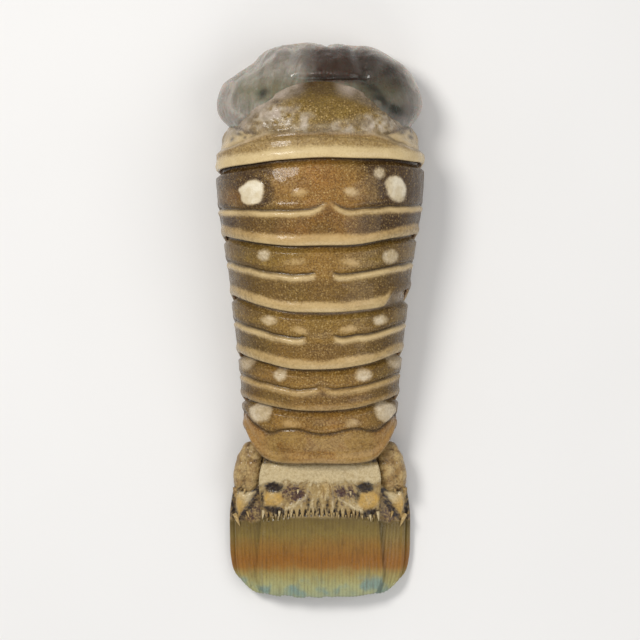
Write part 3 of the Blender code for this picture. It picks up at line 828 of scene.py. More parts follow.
firstRing = {
    # each a height, a place and a width: ahead of the rear edge, and behind the step
    "edge": ((0.42, 1.7, 1.5), (-0.12, 3.6, 0.6)),
    "fold": ((-0.25, -1.3, 0.9), (0.15, 0.0, 0.7)),
    "lumps": ((0.18, 4.5, 86), (0.08, 1.8, 87)),
    # ovals: x, station, width, length, tilt
    "moles": ((17.4, 17.6, 6.4, 3.4, 40), (21.4, 20.2, 4.6, 3.4, 10), (15.4, 14.4, 7.0, 1.8, 30),
              (19.6, 16.2, 2.4, 1.8, 0), (-16.4, 15.6, 3.6, 2.2, -30), (-12.6, 17.8, 3.4, 2.0, 0)),
    "thinSkin": ((-14.4, 22.6, 13.0, 6.0, -12), (17.0, 24.2, 12.0, 4.0, -6), (-4.0, 24.8, 3.0, 4.6, 8),
                 (6.5, 25.6, 5.5, 1.6, 0), (0.5, 26.2, 9.0, 1.2, 0)),
    "earSpots": ((-26.6, 28.6, 1.3, 1.2, 0), (-24.2, 27.0, 2.6, 1.0, 15), (-22.0, 28.2, 0.8, 0.8, 0),
                 (25.0, 26.4, 3.2, 1.2, -14), (27.8, 27.8, 1.8, 1.2, 20), (28.6, 25.8, 1.5, 1.6, 0)),
    "stepLine": (16.0, 27.2, 0.42),  # where the step turns aside, its station there, and its slope
    "earLine": (29.5, 24.6, 0.3),  # outer end of the ears' front border, its station and slope
    "earInner": (18.5, 21.5),  # from the middle, where an ear begins and where it is whole
    "flankLine": (11.5, 14.0, 0.55, 2.5),  # inner border of the veiled flanks: x, station, slope, waver
    "frontHaze": (0.5, 6.5),  # behind the front edge
}


def domePattern(g, x, s, u, cover, rear):
    # ring 1: a smooth dome that sat under the body shell, a step, a brown band and a cream edge
    dc, dr, ax = s - cover, rear - s, np.abs(x)
    worn, rough, patchy = wear(u, s, 1.7, 83), wear(u, s, 1.0, 88), patchNoise(u, s, 6.0, 82)
    edge = ramp(rings[0]["rim"] * (1 + 0.1 * patchNoise(u, 0, 5.0, 40)) - dr, -1.3, 1.2)
    turnAt, turnStation, slope = firstRing["stepLine"]
    step = s - turnStation - slope * np.maximum(ax - turnAt, 0) - 0.25 * patchNoise(u, 0, 3.0, 81)
    earEnd, earStation, earSlope = firstRing["earLine"]
    earFront = s - earStation - earSlope * (earEnd - ax) - 0.35 * patchNoise(u, 0, 2.0, 80)
    band, dome, seam = ramp(step, 0.4, 1.3), fade(step, -0.8, 0.2), hump(step + 0.3, 0.75)
    ear = ramp(ax, *firstRing["earInner"]) * ramp(earFront, -0.3, 0.7) * fade(step, -1.3, -0.3)
    moles, spots = blobs(x, s, firstRing["moles"], 1.2), blobs(x, s, firstRing["earSpots"], 0.6)
    thin = blobs(x, s, firstRing["thinSkin"], 2.4) * dome * ramp(worn + 0.25 * rough, 0.15, 0.75)
    limitAt, limitStation, limitSlope, waver = firstRing["flankLine"]
    limit = limitAt + limitSlope * (s - limitStation) + waver * patchNoise(u, s, 3.5, 79)
    flank = ramp(ax - limit, 0.0, 5.0) * dome * (1 - ear)
    front = fade(s - frontEdge(0, g), *firstRing["frontHaze"])
    misty = front * ramp(ax, 3, 9)
    relief = ringShape["rise"] + humps(dr, *firstRing["edge"]) + 0.2 * ear * (1 - band) + 0.1 * seam
    lumps = lumpy(u, s, *firstRing["lumps"], (0.2 * thin, 1.1, 84), (0.12 * flank, 2.4, 85))
    domeRelief = lumps + humps(dc, *firstRing["fold"]) + 0.12 * thin
    earLine = 0.8 * spots * ear + 0.5 * hump(earFront + 0.5, 0.5) * ramp(ax, 17, 20) * dome
    stepLine = 0.45 * hump(step + 0.7, 0.45) * (1 - thin) * ramp(patchy, -0.4, 0.6)
    frontDark = dome * (0.5 * front + 0.25 * worn + 0.2 * fade(s, 14, 21))
    bandDark = 0.35 * band * (1 - edge) * worn
    # painted shade on the right side: darker there, and the pale veils thinner
    rightSideShade = 0.6 * np.maximum(flank, misty) * ramp(x, 4, 14)
    sideVeil = 0.8 * flank * (1 - 0.45 * ramp(x, 8, 16))
    frontVeil = 0.85 * misty * (1 - 0.5 * ramp(x, 4, 14))
    veil = np.maximum.reduce((0.9 * thin, sideVeil, 0.25 * dome * ramp(s, 23, 26), frontVeil, 0.4 * seam))
    speckle = np.clip(0.5 + dome * (0.7 * ramp(s, 14, 23) - 0.3) + 0.3 * band, 0, 1)
    return relief, domeRelief, {
        "cream": np.maximum.reduce((edge, 0.3 * band, ear, 0.75 * seam * ramp(ax, 10, 18))),
        "gold": 0.1 + 0.25 * ear * worn + 0.3 * (1 - edge) * (1 - ear),
        "spot": 0.8 * thin * ramp(rough, 0.25, 0.75),
        "line": np.maximum(earLine, stepLine),
        "dark": np.maximum.reduce((0.95 * moles * (1 - ear), frontDark, bandDark, rightSideShade)),
        "copper": 0.3 * band,
        "olive": 0.6 * dome + 0.35 * band + 0.3 * dome * front,
        "veil": veil * (1 - 0.8 * moles),
        "speckle": speckle * (1 - 0.6 * thin),
    }


def makeRing(n, material):
    # hull moved out by the relief and in by the tuck under the ring ahead, with a rounded rim
    g, s, front, cover, groove, rear = ringGrid(n)
    flap = np.broadcast_to(flapShare(g), s.shape)
    x, u = envelope(g, s)[..., 0], g * body["girthLength"]
    onFlap, lower = ramp(flap, 0.0, 0.5), ramp(flap, 0.05, 0.7)
    exposed = ramp(s - cover, ringShape["clearOfEdge"], ringShape["fullHeight"])
    sunk = -ringShape["tucked"] * (1 - exposed)
    hidden = 0 * x
    if n:
        relief, fields = backPattern(n, g, x, s, u, cover, groove, rear, flap)
    else:
        relief, hidden, fields = domePattern(g, x, s, u, cover, rear)
        hidden = hidden * (1 - flap)
        depth, length = ringShape["sink"]
        sunk = sunk - depth * fade(s - front, 0, length) * (1 - onFlap)
    relief = relief + lumpy(u, s, *((height, cell, seed + n) for height, cell, seed in ringShape["lumps"]))
    rim = np.minimum.reduce((rear - s, (1 - np.abs(g)) * body["girthLength"], s - front))
    flapRelief = humps(rim, *ringShape["flapRim"]) + 0.1 * patchNoise(u, s, 2.4, 131 + n)
    fall = roundOff(rim, ringShape["roundness"])
    outer = sunk + exposed * (relief * (1 - onFlap) + flapRelief * onFlap) + (1 - exposed) * hidden - fall
    inner = sunk + 0.05 * exposed - ringShape["wall"] + fall
    mottled = wear(u, s, 2.0, 141 + n)
    flapRim = 0.85 * lower * ramp(1.9 - rim, -0.5, 0.7)
    fields["cream"] = np.maximum(fields["cream"] * (1 - 0.3 * lower), flapRim)
    fields["veil"] = np.maximum(fields["veil"], lower * (0.15 + 0.35 * mottled))
    fields["dark"] = fields["dark"] * (1 - 0.5 * lower) + 0.4 * lower * hump(rim - 2.6, 0.7) * mottled
    fields = {key: np.clip(values, 0, 1) for key, values in fields.items()}
    part = sheetPart(hullPoint(g, s, outer), hullPoint(g, s, inner), fields)
    makePiece(f"armour_ring_{n + 1}", [part], material, "shell", f"shell_ring_{n + 1}")


shellMaterial = makeShellMaterial()
for number in range(len(rings)):
    makeRing(number, shellMaterial)
print("rings done")


# Meat

meat = {
    "halfWidth": ((0, 29.0), (13, 30.2), (19, 30.0), (22.4, 28.3), (24.8, 26.0), (27, 25.2), (40, 25.4)),
    "top": ((0, 25.6), (7, 26.6), (12, 26.7), (18, 28.2), (27, 29.6), (36, 31.2)),
    "belly": ((0, 4.0), (5, -0.9), (19, -0.9), (28, 4.0), (40, 5.2), (100, 5.0), (116, 5.6)),
    "rear": 116.0,
    "bulge": (27.0, 2.9),  # length of the rounded front and its power, then the same for the rear
    "taper": (9.0, 2.5),
    "bellyRise": 1.3,
    "squareness": 0.62,
    "arches": (20, 33),
    "intoShell": (29, 42),
    "inset": 2.75,
    "shoulder": 4.4,  # how far the front left corner is drawn in
    "columns": 288,
    "rows": (118, 50, 22),  # closer together ahead of and behind the even stretch
    "even": (40, 107),
}
meatMarks = {
    "lumps": ((0.55, 10.0, 201), (0.25, 4.5, 202), (0.08, 1.6, 203)),  # height, cell, seed
    "strands": 0.1,
    "valleys": ((1.1, 11.5, 0.35, 1.8), (0.8, -8.5, -0.3, 1.9)),  # depth, x at station 6, slope, width
    "cleft": (1.4, 1.5, 0.15, 1.5),  # depth, x at height 9, lean, width
    "crease": (0.9, 11.2, 0.0022, 0.7),  # depth, station at x 4, bow, width
    "stain": (5.0, 4.0, 14.0),  # x of its middle, and distances from there between which it fades
    "vein": (18.5, 0.3, 1.1),  # height, radius, softness
    "green": (15, 6),  # station and reach
}
meatPaint = {
    "white": paint(160, 154, 144),
    "grey": paint(137, 131, 122),
    "strand": paint(192, 186, 175),
    "hollow": paint(112, 103, 91),
    "shade": paint(40, 29, 19),
    "stain": paint(48, 26, 8),
    "mole": paint(38, 38, 27),
    "green": paint(104, 98, 66),
    # crease is painted shade in the crease ahead of the dome
    "crease": paint(40, 28, 16),
    "vein": paint(130, 84, 60),
    "belly": paint(208, 187, 164),
    "slick": 0.22,
    "damp": 0.5,
    "relief": 0.2,
}


def meatGrid():
    # superellipse rounds off the front, a second one the rear; arch above, flat belly below
    front, middle, rear = meat["rows"]
    start, end = meat["even"]
    s = np.concatenate((
        start * (1 - np.cos(np.pi / 2 * np.arange(1, front + 1) / front)),
        np.linspace(start, end, middle + 2)[1:-1],
        meat["rear"] - (meat["rear"] - end) * (1 - np.sin(np.pi / 2 * np.arange(rear) / rear)),
    ))[:, None]
    cosine, sine = circle(meat["columns"], -1)
    mix = ramp(s, *meat["intoShell"])
    width, tall = (
        mix * (smoothCurve(body[outer], s) - meat["inset"]) + (1 - mix) * smoothCurve(meat[own], s)
        for outer, own in (("halfWidth", "halfWidth"), ("height", "top"))
    )
    hinge = body["hingeHeight"] * smoothCurve(body["height"], s)
    (bulge, power), (taper, taperPower) = meat["bulge"], meat["taper"]
    ahead = np.maximum(bulge - s, 0) / bulge
    behind = np.maximum(s - (meat["rear"] - taper), 0) / taper
    share = np.maximum(1 - ahead**power - behind**taperPower, 0) ** (1 / power)
    above = sine >= 0
    x = width * signedPower(cosine, np.where(above, body["widthPower"], meat["squareness"])) * share
    floor = smoothCurve(meat["belly"], s) + meat["bellyRise"] * sine**2 * ramp(s, *meat["arches"])
    zUp = hinge + (tall - hinge) * np.abs(sine) ** body["heightPower"] * share
    zDown = hinge - (hinge - floor) * np.abs(sine) ** meat["squareness"] * share**0.5
    z = np.maximum(np.where(above, zUp, zDown), 0)
    s = np.broadcast_to(s, x.shape)
    return np.stack((x, -s, z), -1), s, np.broadcast_to(sine, x.shape)


def makeMeatMaterial():
    # white and grey flesh, then fibres and marbling stretched along the tail, then the painted marks
    look = meatPaint
    fixed = {"Coat Weight": 0.3, "Coat Roughness": 0.06, "IOR": 1.36, "Subsurface Weight": 0.5,
             "Subsurface Scale": 0.004}
    material, tree, shader, where = newMaterial("raw_meat", **fixed)
    wet = addWet(tree, where, look)
    marbling = cloud(tree, stretched(tree, where, (1.0, 0.3, 0.8)), 5.5, 4.0, 0.55, 1.6)
    fibre = cloud(tree, stretched(tree, where, (1.0, 0.16, 1.0)), 0.7, 3.0, 0.6)
    patch = between(tree, cloud(tree, where, 7.0, 4.0, 0.6), 0.36, 0.66)
    tone = layered(
        tree, look, blend(tree, patch, look["white"], look["grey"]),
        (between(tree, fibre, 0.5, 0.68), 0.25, "white"),
        (between(tree, marbling, 0.48, 0.36), 0.55, "hollow"),
        (between(tree, marbling, 0.52, 0.64), 0.6, "strand"),
        *((name, 1, name) for name in ("green", "shade", "stain", "mole", "vein", "belly", "crease")),
    )
    height = calc(tree, "ADD", fibre, calc(tree, "MULTIPLY", wet["Ripple"], 0.8))
    height = calc(tree, "ADD", height, calc(tree, "MULTIPLY", marbling, 1.6))
    finishShader(tree, shader, tone, wet, height, look["relief"])
    return material


def makeMeat():
    # grid pushed out by lumps and strands, and in along two valleys, a cleft and a crease
    marks = meatMarks
    points, s, sine = meatGrid()
    x, z = points[..., 0], points[..., 2]
    a, b = x + 0.55 * z, s + 0.35 * z - 0.2 * x
    shown, upper = fade(s, 21, 27), ramp(sine, -0.1, 0.3)
    worn, broad = wear(a, b, 2.2, 206), patchNoise(a, b, 7.0, 207)
    lumps = lumpy(a, b, *marks["lumps"]) + marks["strands"] * patchNoise(a, 0.2 * b, 0.9, 204)
    valleys = sum(deep * hump(x - at - slope * (s - 6), wide) for deep, at, slope, wide in marks["valleys"])
    deep, at, lean, wide = marks["cleft"]
    cleft = deep * hump(x - at - lean * (z - 9) - 0.8 * patchNoise(z, s, 5.0, 208), wide)
    deep, at, bow, wide = marks["crease"]
    crease = hump(s - at + bow * (x - 4) ** 2, wide) * fade(np.abs(x - 3), 9, 13) * upper
    drop = valleys * upper * fade(s, 9, 14) + cleft * fade(z, 11, 19) * fade(s, 4, 9) + deep * crease
    belly = ramp(-sine, 0.25, 0.7) * ramp(s, 24, 32)
    moved = pushOut(points, shown * (lumps - drop - 0.4) + 0.15 * belly * patchNoise(x, s, 2.5, 205))
    moved[..., 0] += meat["shoulder"] * fade(s, 5, 12.5) * ramp(-x, 12, 26)
    moved[..., 1] = np.minimum(moved[..., 1], 0)
    moved[..., 2] = np.maximum(moved[..., 2], 0)
    lid = upper * ramp(z, 13, 20)
    shade = 0.9 * ramp(x + 2 * broad, 4, 15) * lid * (1 - 0.55 * hump(s - 17.5, 5))
    shade = shade + 0.2 * ramp(-z, -7, -2) * shown + 0.25 * ramp(-x, 23, 28)
    middle, *fading = marks["stain"]
    stain = fade(np.abs(x - middle + 2.0 * broad + 1.5 * worn), *fading) * window(s, 0.2, 3, 11.5, 14)
    station, reach = marks["green"]
    green = hump(s - station, reach) * fade(np.abs(x), 20, 28) * upper * (0.7 + 0.2 * broad)
    high, radius, soft = marks["vein"]
    mole = blobs(x, s, firstRing["moles"], 1.2) * upper
    fields = {
        "green": np.clip(green, 0, 1),
        "shade": np.clip(shade * (0.86 + 0.2 * worn) * shown, 0, 0.97),
        "stain": np.clip(stain * upper * (0.88 + 0.12 * worn), 0, 0.98),
        "mole": 0.95 * mole * ramp(worn, 0.05, 0.5),
        "vein": 0.7 * hump(np.hypot(x, z - high) - radius, soft) * fade(s, 1, 3),
        "belly": np.clip(0.85 * belly + 0.48 * fade(z + 1.5 * broad, 8, 20) * shown, 0, 0.85),
        # painted shade in the crease just ahead of the dome
        "crease": 0.85 * crease * ramp(x, -6, 2),
    }
    front, rear = (moved[row].mean(0) * (0, 1, 1) for row in (0, -1))
    part = closedPart(moved, front, rear - (0, 0.05, 0), fields)
    makePiece("meat_bulge", [part], makeMeatMaterial(), "meat", "tail_meat")


makeMeat()
print("meat done")


# Tail fan

fan = {
    "top": ((116, 14.2), (124, 13.9), (137, 11.8), (149, 9.4), (160, 8.2)),
    "droop": 0.0056,
    "thickness": 0.9,
    "rootThickness": 2.6,
    "thinning": (131, 140),
    "endBow": 1.5,
    "bladeBow": (2.6, 3.2),  # how far a side blade's corners lie ahead of its end, and the power
    "telsonHalfWidth": ((116.5, 14.6), (122, 16.9), (137, 17.0), (149, 18.0), (156, 18.0), (160, 16.6)),
    "hardEnd": 136.6,
    "ribSpacing": 1.0,
    "ribHeight": 0.12,
    "roundness": 0.36,
    "telsonGrid": (164, 281),
    "bladeGrid": (110, 121),
    "crowding": (0.35, 0.3),  # of the rows along a blade and across it, towards the edges
}
fanPaint = {
    "plate": paint(164, 140, 92),
    "plateShade": paint(134, 108, 62),
    "cream": paint(196, 178, 138),
    "yolk": paint(188, 148, 70),
    "bruise": paint(66, 42, 38),
    # dark pigment, and also painted shadow under the last ring and painted shade at the blades' roots
    "dark": paint(30, 18, 12),
    "dot": paint(184, 158, 108),
    # the first two bands, at the roots of the blades, are olive-brown darkened by painted shade
    "bands": ((0.0, paint(102, 85, 42)), (0.2, paint(128, 108, 52)), (0.36, paint(140, 102, 40)),
              (0.52, paint(142, 92, 28)), (0.61, paint(146, 100, 36)), (0.71, paint(156, 140, 82)),
              (0.86, paint(164, 164, 114)), (1.0, paint(148, 156, 124))),
    "blue": paint(112, 140, 136),
    # painted shade in the furrows between ribs, and the colour of dark streaks and grains
    "ribShadeAndStreaks": paint(74, 54, 26),
    "dotSpacing": 0.8,
    "slick": 0.24,
    "damp": 0.46,
    "relief": 0.09,
}


def fanHeight(x, s):
    # the fan's upper face: its profile along the midline, less the square of x times the droop
    return smoothCurve(fan["top"], s) - fan["droop"] * x * x


def ribWave(across):
    # rounded ribs with narrow valleys between: the size of a half cosine wave
    return np.abs(np.cos(np.pi * across / fan["ribSpacing"])) ** 0.6


def makeFanMaterial():
    # bands of colour along the soft ribbed part, and over them the pale horn of the hard part
    look = fanPaint
    material, tree, shader, where = newMaterial("ribbed_fan", **wetHorn)
    grain, wet = addGrain(tree, where, look), addWet(tree, where, look)
    streaky = cloud(tree, stretched(tree, where, (1.0, 0.09, 1.0)), 0.8, 3.0, 0.6)
    wander = calc(tree, "ADD", cloud(tree, where, 4.0, 3.0), calc(tree, "MULTIPLY", streaky, 0.5))
    wander = calc(tree, "MULTIPLY", calc(tree, "SUBTRACT", wander, 0.75), 0.14)
    reach = calc(tree, "ADD", field(tree, "reach"), wander)
    band = put(tree, "ShaderNodeValToRGB", {0: reach})
    stops = band.color_ramp.elements
    for index, (position, colour) in enumerate(look["bands"]):
        stop = stops[index] if index < 2 else stops.new(position)
        stop.position, stop.color = position, colour
    bluish = between(tree, cloud(tree, where, 8.0, 3.0), 0.48, 0.62)
    bluish = calc(tree, "MULTIPLY", bluish, between(tree, reach, 0.7, 0.84, 0.0, 0.8))
    # the furrow layer is painted shade between the ribs
    leaf = layered(
        tree, look, band.outputs[0], (bluish, 1, "blue"), ("furrow", 0.3, "ribShadeAndStreaks"),
        (between(tree, streaky, 0.45, 0.7, 0.0, 0.3), 1, "ribShadeAndStreaks"), (grain["Grains"], 0.16, "ribShadeAndStreaks"),
    )
    plate = layered(
        tree, look, blend(tree, grain["Mottle"], look["plate"], look["plateShade"]),
        (grain["Dots"], 0.6, "dot"), (frayed(tree, "cream", grain, 0.5), 1, "cream"),
        (frayed(tree, "yolk", grain, 0.25), 1, "yolk"), (grain["Grains"], 0.3, "plateShade"),
        (frayed(tree, "bruise", grain, 0.5), 1, "bruise"),
    )
    tone = layered(tree, look, leaf, ("hard", 1, plate), (frayed(tree, "dark", grain, 0.35), 1, "dark"))
    height = calc(tree, "ADD", calc(tree, "MULTIPLY", grain["Height"], 0.6), wet["Ripple"])
    finishShader(tree, shader, tone, wet, height, look["relief"])
    return material


def fanSheet(x, s, base, lift, depth, rim, fields):
    # blade from its lift over the base down to its depth under it, with rounded edges
    fall = roundOff(rim, fan["roundness"])
    top, bottom = (np.stack((x, -s, z), -1) for z in (base + lift - fall, base - depth + fall))
    return sheetPart(top, bottom, fields, ("hard", "reach", "furrow"))


telsonMarks = {
    # ovals: millimetres from the middle, station, width, length, tilt
    "night": ((-13.4, 127.9, 5.4, 3.0, 4), (13.0, 127.9, 5.2, 3.0, -4), (-13.2, 134.6, 6.0, 2.2, 8),
              (14.6, 135.3, 4.8, 2.0, -12), (-16.6, 131.8, 0.9, 5.0, 0), (10.8, 130.4, 1.2, 3.0, 10)),
    "bruises": ((-6.6, 130.0, 6.8, 4.6, 10), (6.6, 130.0, 6.4, 4.6, -10)),
    "yolks": ((-13.7, 131.3, 5.2, 4.6, 0), (13.8, 131.8, 5.6, 5.4, 0)),
    "arms": (((-4.1, 130.9), (-10.6, 135.0)), ((5.4, 131.4), (14.2, 136.4))),
    # x, first and last station, strength
    "keels": ((1.6, 126.6, 131.4, 0.8), (-2.0, 129.5, 135.2, 0.5), (0.8, 130.5, 135.4, 0.45),
              (3.5, 129.5, 135.2, 0.5), (-5.4, 132.4, 135.4, 0.4), (6.2, 133.4, 135.6, 0.4)),
    "slits": (-3.3, -0.6, 2.2, 4.9),
    "slitReach": (130.2, 132.2, 134.6, 135.6),  # stations between which they open and close
    "shownFrom": (120.5, 122.0),  # stations between which it comes out of the skin
    "padEnd": 126.3,
    # half span, tooth spacing, station in the middle, and how it sweeps back outwards
    "comb": (15.2, 1.45, 135.5, 0.0062),
    # x, stations of base and tip, radius, rise
    "spines": ((-6.3, 128.6, 130.0, 0.38, 0.5), (8.7, 129.2, 130.6, 0.38, 0.5),
               (-16.2, 134.6, 137.4, 0.5, 0.5), (16.6, 135.0, 138.0, 0.5, 0.5),
               (-11.6, 134.8, 137.0, 0.42, 0.35), (14.4, 135.9, 138.1, 0.42, 0.35)),
    "rays": (1.0, 117.0),  # where the fine threads meet
    "heights": {"pad": 0.5, "dome": 0.55, "arm": 0.4, "keel": 0.4, "slit": 0.35, "tooth": 0.4, "hollow": 0.2,
                "hard": 0.3, "edge": 0.3, "thread": 0.16, "seam": 0.12},
}


def telsonTop(x, s, half):
    # height of the telson's upper face over the fan's own profile, and its paint fields
    marks, worn = telsonMarks, wear(x, s, 1.3, 303)
    shown = ramp(s, *marks["shownFrom"])
    steps = fade(s, fan["hardEnd"] - 0.5, fan["hardEnd"] + 0.7)
    padEnd = marks["padEnd"] + lumpy(x, 0, (0.6, 2.4, 301), (0.35, 0.9, 300))
    pad = shown * fade(s - padEnd, -0.3, 1.3)
    hollow = (1 - pad) * shown * steps
    dx, ds = x - marks["rays"][0], s - marks["rays"][1]
    turn, away = np.arctan2(dx, ds), np.hypot(dx, ds)
    threads = patchNoise(24 * turn, 0.3 * away, 1.0, 302) + 0.5 * patchNoise(48 * turn, 0.5 * away, 1.0, 299)
    night = blobs(x, s, marks["night"], 0.6)
    bruise = blobs(x, s, marks["bruises"], 1.3) * (1 - night)
    yolk = blobs(x, s, marks["yolks"], 0.8) * (1 - night)
    dome = np.maximum.reduce([1 - np.clip(spotReach(x, s, spot), 0, 1) ** 2 for spot in marks["yolks"]])
    arm = np.maximum.reduce([hump(lineDistance(x, s, *ends), 0.5) for ends in marks["arms"]])
    fine, seams = ramp(threads, 0.1, 0.8) * hollow, ramp(-threads, 0.1, 0.8) * hollow * (1 - yolk)
    keel, slit = 0 * x, 0 * x
    for middle, start, end, strength in marks["keels"]:
        reach = window(s, start - 0.6, start + 0.6, end - 0.6, end + 0.4)
        keel = np.maximum(keel, strength * hump(x - middle - 0.15 * patchNoise(0, s, 1.6, 298), 0.5) * reach)
    for middle in marks["slits"]:
        slit = np.maximum(slit, hump(x - middle - 0.2 * patchNoise(0, s, 1.8, 297), 0.42))
    slit = slit * window(s, *marks["slitReach"])
    spacing, combAt, sweep = marks["comb"][1:]
    phase = np.cos(2 * np.pi * (x / spacing + 0.35 * patchNoise(x, 0, 3.0, 296)))
    behind = s - combAt - sweep * x * x
    ticks = ramp(phase + 0.5 * behind, -0.2, 0.4) * window(behind, -2.4, -0.8, 0.5, 1.2)
    ribs, tall = ribWave(x), marks["heights"]
    lift = (
        tall["pad"] * pad + tall["dome"] * dome * hollow + tall["arm"] * arm + tall["keel"] * keel
        - tall["slit"] * slit - tall["tooth"] * ticks - tall["hollow"] * hollow
        + tall["hard"] * steps - tall["hard"]
        + fan["ribHeight"] * (ribs * ramp(s, fan["hardEnd"] + 0.2, 139.5) - 0.5)
        + tall["edge"] * hump(half - np.abs(x) - 0.7, 0.6) + tall["thread"] * fine - tall["seam"] * seams
        + steps * lumpy(x, s, (0.12, 1.9, 304), (0.06, 0.8, 305))
    )
    cream = (0.8 + 0.15 * worn) * pad + 0.75 * arm * hollow + 0.6 * keel + 0.5 * fine + 0.4 * dome * yolk
    yellow = (0.95 - 0.4 * dome) * yolk + 0.35 * hump(x - 1.6, 1.6) * hump(s - 128.5, 2.4)
    bruise = bruise * (0.4 + 0.6 * ramp(worn, 0.3, 0.7)) * (1 - 0.8 * arm) + 0.4 * seams * (0.2 + 0.8 * worn)
    # the last term is a painted shadow at the telson's front, under the rear edge of the last ring
    dark = np.maximum.reduce((0.95 * night, 0.8 * slit, 0.95 * ticks)) * steps + 0.7 * fade(s, 120.5, 121.6)
    return lift, {
        "hard": steps,
        "reach": np.clip((s - fan["hardEnd"]) / (body["length"] - fan["hardEnd"]), 0, 1),
        "furrow": (1 - ribs) * (1 - steps),
        "cream": np.clip(cream, 0, 1),
        "yolk": np.clip(yellow, 0, 1),
        "bruise": np.clip(bruise, 0, 0.9),
        "dark": np.clip(dark, 0, 1),
    }


def makeTelson(material):
    # broad blade: a half width for each station, its end bowed forward at the corners and a little
    # ragged, with spines and a comb of small teeth
    pairs = fan["telsonHalfWidth"]
    first, last = pairs[0][0], pairs[-1][0]
    along, out = leafGrid(*fan["telsonGrid"], *fan["crowding"])
    s = first + (last - first) * along
    half = smoothCurve(pairs, s)
    x = out * half
    s = s - fan["endBow"] * np.abs(out) ** 4 * along**4
    s = s - (0.25 * ribWave(x) + 0.3 * patchNoise(x, 0, 1.7, 306)) * ramp(along, 0.9, 1.0) * along
    lift, fields = telsonTop(x, s, half)
    depth = fan["thickness"] + (fan["rootThickness"] - fan["thickness"]) * fade(s, *fan["thinning"])
    depth = depth + 0.08 * (ribWave(x) - 0.5) * ramp(s, 138, 141)
    rim = np.minimum(half - np.abs(x), np.minimum(along, 1 - along) * (last - first))
    base = fanHeight(x, s) + 0.22 * patchNoise(x, 0.4 * s, 6.0, 308) * ramp(s, 138, 146)
    parts = [fanSheet(x, s, base, lift, depth, rim, fields)]
    sx, start, end, radii, rise = np.array(telsonMarks["spines"]).T
    bases = np.stack((sx, -start, fanHeight(sx, start) - 0.2), -1)
    tips = np.stack((sx * 1.02, -end, fanHeight(sx, end) + rise), -1)
    parts += spikeParts(bases, tips, radii, {"hard": 1.0, "cream": 0.9})
    rng = np.random.default_rng(307)
    span, spacing, combAt, sweep = telsonMarks["comb"]
    count = int(2 * span / spacing)
    places = np.linspace(-span, span, count) + rng.uniform(-0.3, 0.3, count)
    starts = combAt + sweep * places**2 + rng.uniform(-0.4, 0.2, count)
    ends = starts + rng.uniform(0.8, 1.4, count)
    bases = np.stack((places, -starts, fanHeight(places, starts) - 0.1), -1)
    tips = np.stack((places * 1.01, -ends, fanHeight(places, ends) + 0.1), -1)
    parts += spikeParts(bases, tips, 0.22 + 0.1 * rng.random(count), {"hard": 1.0, "cream": 0.25})
    makePiece("telson_blade", parts, material, "fan", "telson")


# A spine is the x and station of its base and of its tip, and its radius.
sideBlades = (
    {"name": "inner_blade", "root": (19.2, 127.4), "tip": (15.0, 159.2), "depth": (3.6, 1.6),
     "halfWidth": ((0, 3.8), (0.1, 5.2), (0.25, 6.3), (0.5, 7.4), (0.74, 8.1), (0.88, 7.9), (0.96, 7.1),
                   (1, 6.0)),
     "spines": ((24.6, 135.9, 23.0, 139.8, 0.75), (21.0, 135.2, 20.4, 137.2, 0.4))},
    {"name": "outer_blade", "root": (21.6, 127.2), "tip": (16.8, 157.8), "depth": (6.2, 3.2),
     "halfWidth": ((0, 3.0), (0.1, 4.2), (0.25, 5.6), (0.5, 6.9), (0.74, 7.7), (0.88, 7.5), (0.96, 6.7),
                   (1, 5.6)),
     "spines": ()},
)
bladeMarks = {
    "plate": ((18.0, 129.2), (25.2, 129.2), (23.6, 137.0)),  # corners of the pale plate: across, station
    "hardEnd": 137.6,
    "bandStart": 138.0,  # where the bands of colour begin
    "fanOut": 7.0,  # ribs from one side of the blade to the other, in rib spacings
}


def insidePlate(x, s):
    # how far inside the pale plate a place lies: the least of its distances to the three sides
    corners = bladeMarks["plate"]
    return np.minimum.reduce([
        ((bx - ax) * (s - ay) - (by - ay) * (x - ax)) / math.hypot(bx - ax, by - ay)
        for (ax, ay), (bx, by) in zip(corners, corners[1:] + corners[:1])
    ])


